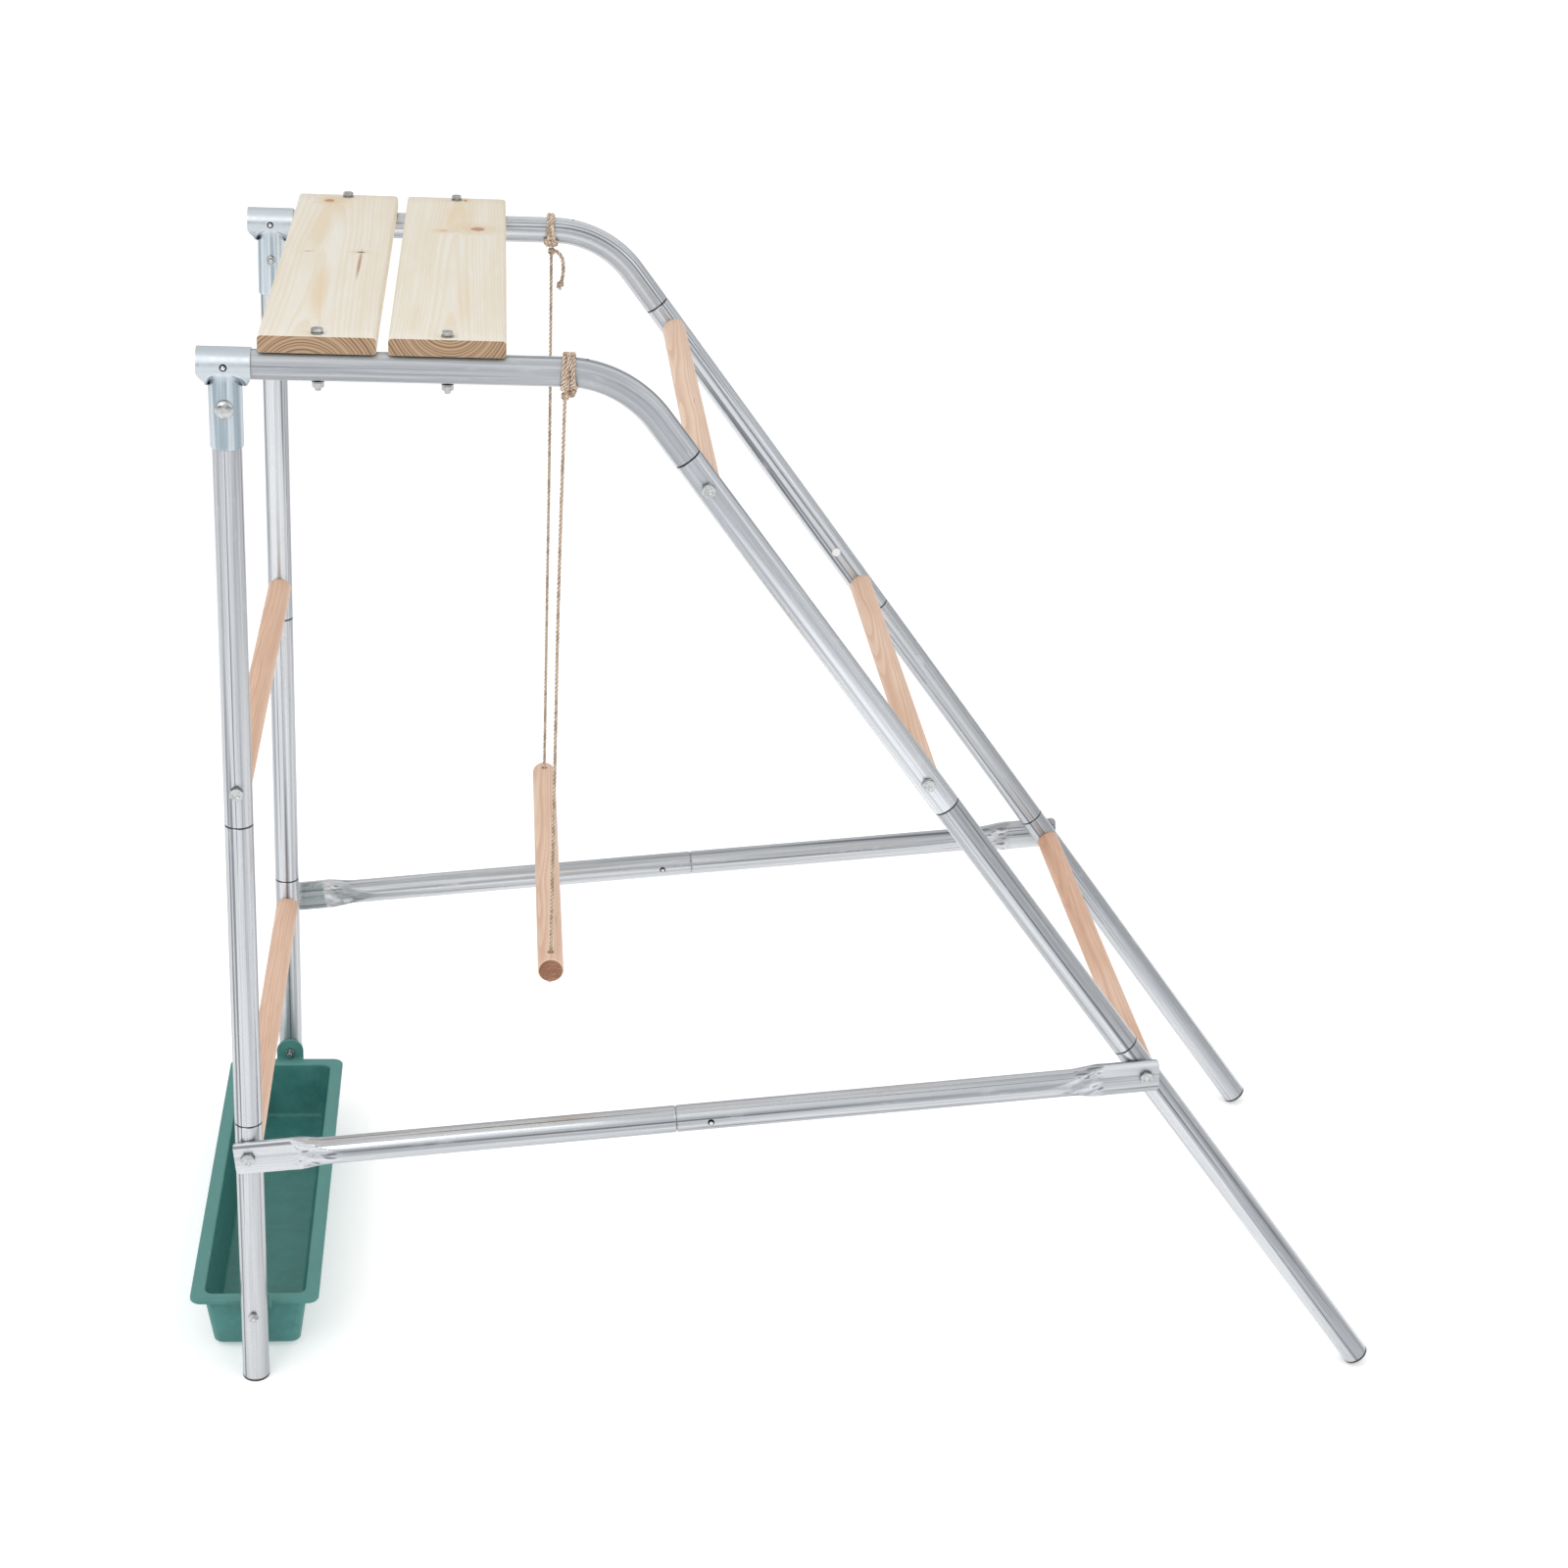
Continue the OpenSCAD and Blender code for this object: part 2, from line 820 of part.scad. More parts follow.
module brace_button(side) {
    at_brace_button(side) snap_button(tube_r + button_tip, brace_seat);
}

module bracket_button(side) {
    at_bracket_button(side) snap_button(sleeve_out + button_tip - 1, bracket_seat);
}

// The fixed leg of each button's spring, along the tube wall opposite the button
module spring_leg(seat) {
    translate([-spring_l / 2, seat - leaf_t, -leaf_w / 2])
        cube([spring_l, leaf_t, leaf_w]);
    translate([spring_l / 2 - leaf_t, seat - spring_hook, -leaf_w / 2])
        cube([leaf_t, spring_hook, leaf_w]);
}

module button_springs() {
    color(zinc)
    for (s = [near, far]) {
        at_brace_button(s) spring_leg(brace_seat);
        at_bracket_button(s) spring_leg(bracket_seat);
    }
}

// Thin round stickers on the inner faces of the far leg's tubes
module number_discs() {
    color("white")
    for (s = [leg_joint_b - 120, leg_rung_c + 51])
        on_side(far)
            intersection() {
                on_leg(s + 12)
                    difference() {
                        cylinder(h = 24, r = tube_r + 0.5);
                        translate([0, 0, -1]) cylinder(h = 26, r = tube_r + 0.1);
                    }
                translate([leg_x(s), 0, leg_z(s)]) rod_y(0, tube_od, 6.5);
            }
}

top_tube(near);  // top_tube_near
top_tube(far);  // top_tube_far
leg_upper(near);  // leg_upper_near
leg_upper(far);  // leg_upper_far
leg_middle(near);  // leg_middle_near
leg_middle(far);  // leg_middle_far
leg_foot(near);  // leg_foot_near
leg_foot(far);  // leg_foot_far
post_upper(near);  // post_upper_near
post_upper(far);  // post_upper_far
post_middle(near);  // post_middle_near
post_middle(far);  // post_middle_far
post_foot(near);  // post_foot_near
post_foot(far);  // post_foot_far
tee_bracket(near);  // tee_bracket_near
tee_bracket(far);  // tee_bracket_far
brace_short(near);  // brace_short_near
brace_short(far);  // brace_short_far
brace_long(near);  // brace_long_near
brace_long(far);  // brace_long_far
post_plug(near);  // post_plug_near
post_plug(far);  // post_plug_far
leg_plug(near);  // leg_plug_near
leg_plug(far);  // leg_plug_far
ladder_rung(leg_rung_a);  // ladder_rung_top
ladder_rung(leg_rung_b);  // ladder_rung_middle
ladder_rung(leg_rung_c);  // ladder_rung_bottom
post_rung(post_rung_high);  // post_rung_upper
post_rung(post_rung_low);  // post_rung_lower
deck_board(0);  // deck_board_rear
deck_board(1);  // deck_board_front
planter();
trapeze_bar();
rope(near);  // rope_near
rope(far);  // rope_far
rope_tie(near, tie_near_x, tie_wraps_near);  // rope_tie_near
rope_tie(far, tie_far_x, tie_wraps_far);  // rope_tie_far
rope_tail();
brace_button(near);  // brace_button_near
brace_button(far);  // brace_button_far
bracket_button(near);  // bracket_button_near
bracket_button(far);  // bracket_button_far
button_springs();
rung_bolts();
bracket_bolts();
bracket_nuts();
deck_bolts();
deck_washers();
deck_nuts();
planter_bolts();
planter_nuts();
number_discs();
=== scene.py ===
import bpy
import bmesh
import math
from mathutils import Matrix, Vector


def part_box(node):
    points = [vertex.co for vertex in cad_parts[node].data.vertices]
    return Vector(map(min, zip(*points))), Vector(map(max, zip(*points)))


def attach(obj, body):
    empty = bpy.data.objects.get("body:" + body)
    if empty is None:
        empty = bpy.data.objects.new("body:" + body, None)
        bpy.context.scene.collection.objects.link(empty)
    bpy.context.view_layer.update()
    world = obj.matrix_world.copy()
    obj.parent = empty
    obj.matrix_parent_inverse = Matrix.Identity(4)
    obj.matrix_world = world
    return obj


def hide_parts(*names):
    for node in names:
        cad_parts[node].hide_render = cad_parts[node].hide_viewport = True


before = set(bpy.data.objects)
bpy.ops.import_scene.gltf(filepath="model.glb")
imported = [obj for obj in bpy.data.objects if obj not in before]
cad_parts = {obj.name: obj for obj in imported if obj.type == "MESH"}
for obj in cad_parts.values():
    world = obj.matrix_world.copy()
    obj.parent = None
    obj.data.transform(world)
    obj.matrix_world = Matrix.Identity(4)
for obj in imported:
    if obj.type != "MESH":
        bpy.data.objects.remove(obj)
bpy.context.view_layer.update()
print("frame loaded")

mm = 0.001
near = -1
far = 1
sideNames = {near: "near", far: "far"}


def middle(node):
    low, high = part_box(node)
    return (low + high) / 2


def sizeOf(node):
    low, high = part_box(node)
    return high - low


# where the frame stands: the posts, the two side frames and the top tubes' axis
postX = middle("post_foot_near").x
halfWidth = -middle("post_foot_near").y
tubeR = sizeOf("post_foot_near").x / 2
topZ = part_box("top_tube_near")[1].z - tubeR
bend = {"corner": 494 * mm, "angle": math.radians(52.5), "radius": 150 * mm}
bendX = postX + bend["corner"] - bend["radius"] * math.tan(bend["angle"] / 2)
bendZ = topZ - bend["radius"]


def onSide(side, x, y, z):
    # x from the posts, y from the side frame's own plane, minus is outwards
    return Vector((postX + x, side * (halfWidth - y), z))


view = {
    "place": Vector((331.15, -3769.09, 2473.19)) * mm,
    "yaw": 0.1126, "pitch": 0.4222, "roll": 0.0554,
    "lens": 63.627, "sensor": 36, "shift": (0.0055, 0.0037), "reach": 200,
}
light = {
    "sky": 0.88, "horizon": 0.36, "skyHeight": 0.55, "tint": (0.98, 0.99, 1.0), "backdrop": 1.05,
    "aim": Vector((0, 0, 0.8)),
    "keyLight": {"place": (-2.6, -3.4, 4.2), "power": 58.0, "size": 3.2},
    "fillLight": {"place": (3.6, -2.6, 3.2), "power": 20.0, "size": 3.0},
    "floor": (0.93, 0.93, 0.93), "floorGlow": 0.34, "floorSize": 90.0, "floorRough": 0.9, "floorShine": 0.1,
}


def makeCamera():
    yaw, pitch, roll = view["yaw"], view["pitch"], view["roll"]
    ahead = Vector((math.sin(yaw) * math.cos(pitch), math.cos(yaw) * math.cos(pitch), -math.sin(pitch)))
    right = Vector((math.cos(yaw), -math.sin(yaw), 0))
    down = -right.cross(ahead)
    across = math.cos(roll) * right - math.sin(roll) * down
    below = math.sin(roll) * right + math.cos(roll) * down
    turn = Matrix((across, -below, -ahead)).transposed().to_4x4()
    data = bpy.data.cameras.new("camera")
    data.sensor_width = view["sensor"]
    data.lens = view["lens"]
    data.shift_x, data.shift_y = view["shift"]
    data.clip_end = view["reach"]
    camera = bpy.data.objects.new("camera", data)
    camera.matrix_world = Matrix.Translation(view["place"] + Vector((postX, 0, 0))) @ turn
    bpy.context.scene.collection.objects.link(camera)
    bpy.context.scene.camera = camera


# the node tree that put() works in
graph = {"tree": None}


def fill(made, given):
    # a value or a link for each input
    for key, value in given.items():
        if isinstance(value, bpy.types.NodeSocket):
            graph["tree"].links.new(value, made.inputs[key])
        else:
            made.inputs[key].default_value = value
    return made


def put(kind, given, **settings):
    made = graph["tree"].nodes.new("ShaderNode" + kind)
    for name, value in settings.items():
        setattr(made, name, value)
    return fill(made, given)


def calc(what, *values):
    return put("Math", dict(enumerate(values)), operation=what).outputs[0]


def plus(a, b):
    return calc("ADD", a, b)


def less(a, b):
    return calc("SUBTRACT", a, b)


def times(a, b):
    return calc("MULTIPLY", a, b)


def timesPlus(a, b, c):
    return calc("MULTIPLY_ADD", a, b, c)


def lengthOf(a, b):
    return calc("SQRT", timesPlus(a, a, times(b, b)))


def vectorMath(what, *values):
    return put("VectorMath", dict(enumerate(values)), operation=what).outputs[0]


def parts(vector):
    return put("SeparateXYZ", {0: vector}).outputs


def joined(x, y, z):
    return put("CombineXYZ", {0: x, 1: y, 2: z}).outputs[0]


def span(value, low, high, outLow=0.0, outHigh=1.0):
    given = {0: value, 1: low, 2: high, 3: outLow, 4: outHigh}
    return put("MapRange", given, interpolation_type="SMOOTHSTEP").outputs[0]


def mix(amount, a, b):
    return put("Mix", {0: amount, 6: a, 7: b}, data_type="RGBA").outputs[2]


def layered(colour, *layers):
    # each layer is where it shows, how strongly, and its colour
    for where, strength, tint in layers:
        colour = mix(times(where, strength), colour, tint)
    return colour


def noise(vector, scale, detail=2.0, rough=0.5):
    # three scales stretch the noise along the axes
    if isinstance(scale, tuple):
        vector = vectorMath("MULTIPLY", vector, scale)
        scale = 1.0
    given = {"Vector": vector, "Scale": scale, "Detail": detail, "Roughness": rough}
    return put("TexNoise", given).outputs[0]


def rgb(r, g, b):
    return (r, g, b, 1.0)


def makeLight():
    scene = bpy.context.scene
    scene.view_settings.view_transform = "Standard"
    scene.world = bpy.data.worlds.new("studio")
    scene.world.use_nodes = True
    graph["tree"] = scene.world.node_tree
    graph["tree"].nodes.clear()
    height = parts(put("TexCoord", {}).outputs["Generated"])[2]
    bright = span(height, 0.0, light["skyHeight"], light["horizon"], light["sky"])
    # behind the object the studio is as white as its floor
    seen = put("LightPath", {}).outputs["Is Camera Ray"]
    bright = put("Mix", {0: seen, 2: bright, 3: light["backdrop"]}).outputs[0]
    ground = put("Background", {"Color": rgb(*light["tint"]), "Strength": bright})
    put("OutputWorld", {0: ground.outputs[0]})
    for name in ("keyLight", "fillLight"):
        data = bpy.data.lights.new(name, "AREA")
        data.energy = light[name]["power"]
        data.size = light[name]["size"]
        lamp = bpy.data.objects.new(name, data)
        lamp.location = light[name]["place"]
        lamp.rotation_euler = (light["aim"] - lamp.location).to_track_quat("-Z", "Y").to_euler()
        scene.collection.objects.link(lamp)


def newMaterial(name, **plain):
    material = bpy.data.materials.new(name)
    material.use_nodes = True
    graph["tree"] = material.node_tree
    for label, value in plain.items():
        skinOf(material).inputs[label.replace("_", " ")].default_value = value
    return material, put("TexCoord", {}).outputs["Object"]


def skinOf(material):
    return material.node_tree.nodes["Principled BSDF"]


def makeFloor():
    half = light["floorSize"] / 2
    mesh = bpy.data.meshes.new("floor")
    mesh.from_pydata([(-half, -half, 0), (half, -half, 0), (half, half, 0), (-half, half, 0)],
                     [], [(0, 1, 2, 3)])
    floor = bpy.data.objects.new("floor", mesh)
    bpy.context.scene.collection.objects.link(floor)
    material, place = newMaterial(
        "floorPaper", Base_Color=rgb(*light["floor"]), Roughness=light["floorRough"],
        Specular_IOR_Level=light["floorShine"], Emission_Color=rgb(1, 1, 1),
        Emission_Strength=light["floorGlow"])
    mesh.materials.append(material)


makeCamera()
makeLight()
makeFloor()
print("camera, light and floor made")


def makeGroup(name, inputs, build):
    # a node group whose outputs are what build returns by name
    tree = bpy.data.node_groups.new(name, "ShaderNodeTree")
    graph["tree"] = tree

    def addSocket(label, way):
        kind = "NodeSocketVector" if label == "Vector" else "NodeSocketFloat"
        return tree.interface.new_socket(name=label, in_out=way, socket_type=kind)

    addSocket("Vector", "INPUT")
    for label, value in inputs.items():
        addSocket(label, "INPUT").default_value = value
    results = build(tree.nodes.new("NodeGroupInput").outputs)
    for label in results:
        addSocket(label, "OUTPUT")
    fill(tree.nodes.new("NodeGroupOutput"), results)
    return tree


def useGroup(group, given):
    made = graph["tree"].nodes.new("ShaderNodeGroup")
    made.node_tree = group
    return fill(made, given).outputs


def unrolled(given):
    # the bent tube laid straight: x runs along the straight, the bend and the leg
    place = parts(given["Vector"])
    dx = less(place[0], bendX)
    dz = less(place[2], bendZ)
    turn = put("Clamp", {0: calc("ARCTAN2", dx, dz), 1: 0.0, 2: bend["angle"]}).outputs[0]
    sine = calc("SINE", turn)
    cosine = calc("COSINE", turn)
    along = timesPlus(turn, bend["radius"], less(times(dx, cosine), times(dz, sine)))
    outwards = plus(times(dx, sine), times(dz, cosine))
    return {"Vector": joined(along, place[1], outwards)}


def tubeMarks(given):
    # marks of drawn and dipped tube, for a vector whose x runs along the tube
    moved = vectorMath("ADD", given["Vector"], given["Seed"])
    return {
        "Bands": noise(moved, (0.6, 78, 78)),
        "Scores": noise(moved, (1.1, 300, 300), 0.5),
        "Fine": noise(moved, (3.5, 420, 420), 2.0, 0.55),
        "Bloom": noise(moved, (22, 75, 75), 6.0, 0.68),
        "Specks": noise(moved, (150, 320, 320), 3.0, 0.6),
    }


def ringMarks(given):
    # growth rings round a pith that runs along y, with slow waves and a slight taper
    place = parts(given["Vector"])
    radius = lengthOf(less(place[0], given["Pith X"]), less(place[2], given["Pith Z"]))
    slow = noise(given["Vector"], (9, 2.2, 9))
    radius = timesPlus(less(slow, 0.5), given["Wave"], radius)
    radius = plus(timesPlus(place[1], 0.012, radius), given["Push"])
    count = calc("DIVIDE", radius, given["Spacing"])
    uneven = put("TexNoise", {"W": count, "Scale": 0.55, "Detail": 1.0, "Roughness": 0.5},
                 noise_dimensions="1D").outputs[0]
    phase = calc("FRACT", timesPlus(uneven, 1.6, count))
    return {
        "Rings": times(span(phase, 0.30, 0.90), span(phase, 1.0, 0.93)),
        "Fibre": noise(given["Vector"], (900, 14, 900), 3.0, 0.6),
        "Tone": noise(given["Vector"], (30, 3.5, 30), 3.0, 0.55),
    }


def knotMarks(given):
    # a knot's heart, and the halo in which it pushes the rings aside
    place = parts(given["Vector"])
    dx = calc("DIVIDE", less(place[0], given["X"]), given["Radius"])
    dy = calc("DIVIDE", less(place[1], given["Y"]), given["Radius"])
    away = lengthOf(dx, calc("DIVIDE", dy, given["Stretch"]))
    away = timesPlus(less(noise(given["Vector"], 260.0), 0.5), 0.7, away)
    return {"Heart": span(away, 1.15, 0.75), "Halo": span(away, 4.2, 0.9)}


def scuffMarks(given):
    # scratches, water marks and mottling of moulded plastic and rubber
    scaled = put("VectorMath", {0: given["Vector"], 3: given["Scale"]}, operation="SCALE").outputs[0]
    bent = put("TexNoise", {"Vector": scaled, "Scale": 9.0, "Detail": 2.0}).outputs[1]
    lined = vectorMath("MULTIPLY_ADD", bent, (0.12, 0.12, 0.12), scaled)
    lines = noise(lined, (260, 14, 60), 2.0, 0.6)
    patches = noise(scaled, 7.0, 3.0, 0.6)
    rings = noise(scaled, 26.0, 5.0, 0.7)
    return {
        "Scratches": times(span(lines, 0.66, 0.72), span(patches, 0.45, 0.62)),
        "Marks": times(span(rings, 0.60, 0.68), span(patches, 0.52, 0.66)),
        "Mottle": noise(scaled, 42.0, 4.0, 0.6),
    }


bentLine = makeGroup("bentLine", {}, unrolled)
streaks = makeGroup("streaks", {"Seed": 0.0}, tubeMarks)
growthRings = makeGroup(
    "growthRings", {"Pith X": 0.0, "Pith Z": 0.0, "Spacing": 0.004, "Wave": 0.008, "Push": 0.0}, ringMarks)
woodKnot = makeGroup("woodKnot", {"X": 0.0, "Y": 0.0, "Radius": 0.006, "Stretch": 1.6}, knotMarks)
scuffs = makeGroup("scuffs", {"Scale": 1.0}, scuffMarks)


def finished(material, colour, relief=None, **more):
    # relief is a height, its strength and its depth
    given = {"Base Color": colour, **more}
    if relief:
        height, strength, depth = relief
        bump = put("Bump", {"Height": height, "Strength": strength, "Distance": depth})
        given["Normal"] = bump.outputs[0]
    fill(skinOf(material), given)
    return material


def paintedCreviceShade(colour, reach, amount, paintedShade):
    # painted shade: darkens what lies close under an edge, a head or a joint, found by ambient occlusion
    openness = put("AmbientOcclusion", {"Distance": reach}, samples=6).outputs["AO"]
    return mix(span(openness, 0.80, 0.10, 0.0, amount), colour, paintedShade)


def facingSides():
    # 1 where the surface faces along the rungs, 0 where it faces across them
    return calc("ABSOLUTE", parts(put("TexCoord", {}).outputs["Normal"])[1])


steel = {
    "dark": (0.235, 0.25, 0.275), "light": (0.665, 0.68, 0.70), "bloom": rgb(0.72, 0.73, 0.745),
    # the last colour on the next line is a near black, painted as shade in crevices and in each joint's gap
    "metal": 0.86, "smooth": 0.24, "dull": 0.46, "paintedShade": rgb(0.06, 0.063, 0.07),
    "score": rgb(0.115, 0.125, 0.145), "speck": rgb(0.24, 0.25, 0.27), "seedStep": 0.37,
    "crevice": 9 * mm, "relief": 0.12 * mm,
}


def makeSteel(name, run, paintedLight):
    # the name's length also shifts the marks, so that materials whose names differ in length have different
    # ones
    material, place = newMaterial(name)
    # the last argument scales the colours: painted light and shade for this part
    bright = rgb(*(part * paintedLight for part in steel["light"]))
    dark = rgb(*(part * paintedLight for part in steel["dark"]))
    if run == "post":
        spot = parts(place)
        along = joined(spot[2], spot[1], spot[0])
    elif run == "brace":
        along = put("Mapping", {0: place, 2: (0, braceTilt, 0)}).outputs[0]
    else:
        along = useGroup(bentLine, {"Vector": place})["Vector"]
    marks = useGroup(streaks, {"Vector": along, "Seed": len(name) * steel["seedStep"]})
    lines = span(marks["Fine"], 0.40, 0.56)
    bloom = span(marks["Bloom"], 0.56, 0.76)
    specks = span(marks["Specks"], 0.63, 0.74)
    tone = timesPlus(lines, 0.22, timesPlus(span(marks["Bands"], 0.30, 0.62), 0.56, 0.22))
    colour = mix(tone, dark, bright)
    colour = mix(span(marks["Scores"], 0.63, 0.68, 0.0, 0.75), colour, steel["score"])
    colour = layered(colour, (bloom, 0.40, steel["bloom"]), (specks, 0.25, steel["speck"]))
    # painted shade: near black close under edges, heads and joints
    colour = paintedCreviceShade(colour, steel["crevice"], 0.9, steel["paintedShade"])
    if run != "brace":
        # painted shade: the slim neck that shows in each joint's gap is painted near black, as it lies in
        # shade
        spot = parts(along)
        up = less(spot[2], postX if run == "post" else bend["radius"])
        away = lengthOf(up, less(calc("ABSOLUTE", spot[1]), halfWidth))
        colour = mix(span(away, tubeR - 0.2 * mm, tubeR - 0.7 * mm), colour, steel["paintedShade"])
    rough = timesPlus(bloom, 0.22, span(marks["Bands"], 0.65, 0.35, steel["smooth"], steel["dull"]))
    metal = timesPlus(bloom, -0.30, steel["metal"])
    height = timesPlus(marks["Bloom"], 0.6, marks["Fine"])
    return finished(material, colour, (height, 0.35, steel["relief"]), Roughness=rough, Metallic=metal)


zinc = {
    "hood": (rgb(0.56, 0.615, 0.65), rgb(0.67, 0.715, 0.745)),
    "sleeve": (rgb(0.31, 0.375, 0.42), rgb(0.63, 0.685, 0.72)), "sleeveTop": 6 * mm, "sleeveLow": 22 * mm,
    "bolt": (rgb(0.38, 0.40, 0.405), rgb(0.60, 0.605, 0.60)), "grime": rgb(0.20, 0.205, 0.195),
    # the two colours on the next line are near blacks painted as shade: under bolt heads, and down the
    # buttons' sides
    "crack": rgb(0.04, 0.042, 0.045), "flank": rgb(0.012, 0.013, 0.015),
    "button": (rgb(0.62, 0.63, 0.64), rgb(0.78, 0.785, 0.79)), "relief": 0.1 * mm,
}


def makeSheetZinc():
    # streaks run along the hood on top, and downwards on the sleeve; on the sleeve's sides they are painted
    # darker and in stronger bands than on the hood, part real streaks and part painted shade and reflection
    material, place = newMaterial("zincSheet", Metallic=0.9)
    sleeve = span(parts(place)[2], topZ - zinc["sleeveTop"], topZ - zinc["sleeveLow"])
    down = noise(place, (120, 120, 2.5))
    across = noise(place, (3, 90, 90))
    hood = mix(span(across, 0.3, 0.7), *zinc["hood"])
    # painted shade and reflection: the sleeve below the hood takes the darker, banded colours
    colour = mix(sleeve, hood, mix(span(down, 0.38, 0.62), *zinc["sleeve"]))
    # painted shade: near black close under edges and round the tubes
    colour = paintedCreviceShade(colour, 8 * mm, 0.92, steel["paintedShade"])
    return finished(material, colour, Roughness=timesPlus(sleeve, -0.12, span(down, 0.3, 0.7, 0.34, 0.44)))


def makeBoltZinc():
    material, place = newMaterial("boltZinc", Metallic=1.0)
    cloud = noise(place, 190.0, 3.0, 0.6)
    grime = span(noise(place, 60.0, 4.0, 0.6), 0.55, 0.70)
    colour = layered(mix(span(cloud, 0.3, 0.7), *zinc["bolt"]), (grime, 0.6, zinc["grime"]))
    # painted shade: the bolt is painted near black close under its head and where it meets the work
    colour = paintedCreviceShade(colour, 7 * mm, 0.95, zinc["crack"])
    return finished(material, colour, (cloud, 0.12, zinc["relief"]),
                    Roughness=span(cloud, 0.25, 0.75, 0.16, 0.36))


def makeButtonZinc():
    # bright on the dome; down the flank, where it goes into its hole, painted near black as painted shade
    material, place = newMaterial("buttonZinc", Metallic=1.0)
    cloud = noise(place, 260.0, 3.0, 0.6)
    bright = mix(span(cloud, 0.3, 0.7), *zinc["button"])
    # painted shade: the sides of the button are painted near black
    colour = mix(span(facingSides(), 0.78, 0.94), zinc["flank"], bright)
    return finished(material, colour, (cloud, 0.08, zinc["relief"]),
                    Roughness=span(cloud, 0.3, 0.7, 0.14, 0.30))


# knots are x, y, radius, stretch and colour; patches also have a strength before the colour
boards = {
    "rear": {"node": "deck_board_rear", "pith": (56, -39), "spacing": 4.4, "wave": 9,
             "knots": ((47, 356, 7.6, 1.25, "heart"), (107, 42, 5.6, 0.55, "resin"),
                       (35, 40, 3.4, 0.5, "heart")),
             "patches": ((64, -180, 3.9, 11, 0.55, "patch"), (46, 177, 4.8, 10, 0.4, "patch"),
                         (108, -24, 0.8, 34, 0.9, "streak"), (60, 330, 7, 3, 0.35, "patch"))},
    "front": {"node": "deck_board_front", "pith": (75, 52), "spacing": 3.9, "wave": 8,
              "knots": ((106, 200, 10.5, 1.15, "heart"), (57, 184, 6, 0.8, "halo"),
                        (86, 384, 3.2, 1.6, "heart")),
              "patches": ((78, 270, 8, 5, 0.4, "patch"), (92, -210, 4.0, 10, 0.3, "patch"),
                          (30, -300, 3.4, 8, 0.25, "patch"))},
}
pine = {
    "cream": rgb(0.84, 0.77, 0.645), "pale": rgb(0.87, 0.825, 0.735), "late": rgb(0.79, 0.655, 0.45),
    "end": rgb(0.455, 0.30, 0.18), "endLate": rgb(0.10, 0.052, 0.026), "patch": rgb(0.80, 0.60, 0.35),
    "heart": rgb(0.50, 0.25, 0.14), "halo": rgb(0.72, 0.50, 0.27), "resin": rgb(0.07, 0.04, 0.025),
    "streak": rgb(0.45, 0.24, 0.11), "fibre": rgb(0.70, 0.56, 0.37), "pore": rgb(0.66, 0.46, 0.32),
    "relief": 0.3 * mm,
}


def makePine(name, sizes):
    low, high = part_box(sizes["node"])
    material, place = newMaterial("pine" + name.capitalize(), Specular_IOR_Level=0.3)
    local = vectorMath("SUBTRACT", place, (low.x, 0.0, low.z))

    def knotAt(x, y, radius, stretch):
        return useGroup(woodKnot, {"Vector": local, "X": x * mm, "Y": y * mm, "Radius": radius * mm,
                                   "Stretch": stretch})

    push = None
    spots = []
    for x, y, radius, stretch, tint in sizes["knots"]:
        spot = knotAt(x, y, radius, stretch)
        more = times(spot["Halo"], radius * mm * 0.9)
        push = more if push is None else plus(push, more)
        spots.append((spot, tint))
    marks = useGroup(growthRings, {
        "Vector": local, "Pith X": sizes["pith"][0] * mm, "Pith Z": sizes["pith"][1] * mm,
        "Spacing": sizes["spacing"] * mm, "Wave": sizes["wave"] * mm, "Push": push})
    face = mix(span(marks["Tone"], 0.35, 0.65), pine["cream"], pine["pale"])
    face = layered(face, (marks["Rings"], 0.42, pine["late"]))
    for x, y, radius, stretch, strength, tint in sizes["patches"]:
        face = layered(face, (knotAt(x, y, radius, stretch)["Halo"], strength, pine[tint]))
    face = layered(face, (span(marks["Fibre"], 0.30, 0.70), 0.16, pine["fibre"]))
    for spot, tint in spots:
        face = layered(face, (spot["Halo"], 0.40, pine["halo"]), (spot["Heart"], 0.90, pine[tint]))
    pores = span(noise(local, 1400.0, 2.0, 0.6), 0.35, 0.65)
    end = layered(pine["end"], (marks["Rings"], 0.80, pine["endLate"]), (pores, 0.18, pine["pore"]))
    colour = mix(span(facingSides(), 0.6, 0.9), face, end)
    height = timesPlus(marks["Rings"], 0.5, marks["Fibre"])
    return finished(material, colour, (height, 0.35, pine["relief"]),
                    Roughness=span(marks["Fibre"], 0.3, 0.7, 0.48, 0.68))


dowelWood = {
    "pale": rgb(0.82, 0.575, 0.43), "deep": rgb(0.68, 0.39, 0.255), "late": rgb(0.55, 0.27, 0.16),
    "end": rgb(0.30, 0.135, 0.08), "endLate": rgb(0.17, 0.07, 0.04), "crack": rgb(0.22, 0.09, 0.05),
    "fair": rgb(0.90, 0.72, 0.56), "fibre": rgb(0.90, 0.70, 0.56), "saw": rgb(0.62, 0.38, 0.27),
    "pith": (21 * mm, -12 * mm), "spacing": 3.1 * mm, "wave": 16 * mm, "relief": 0.3 * mm, "seedStep": 1.7,
}


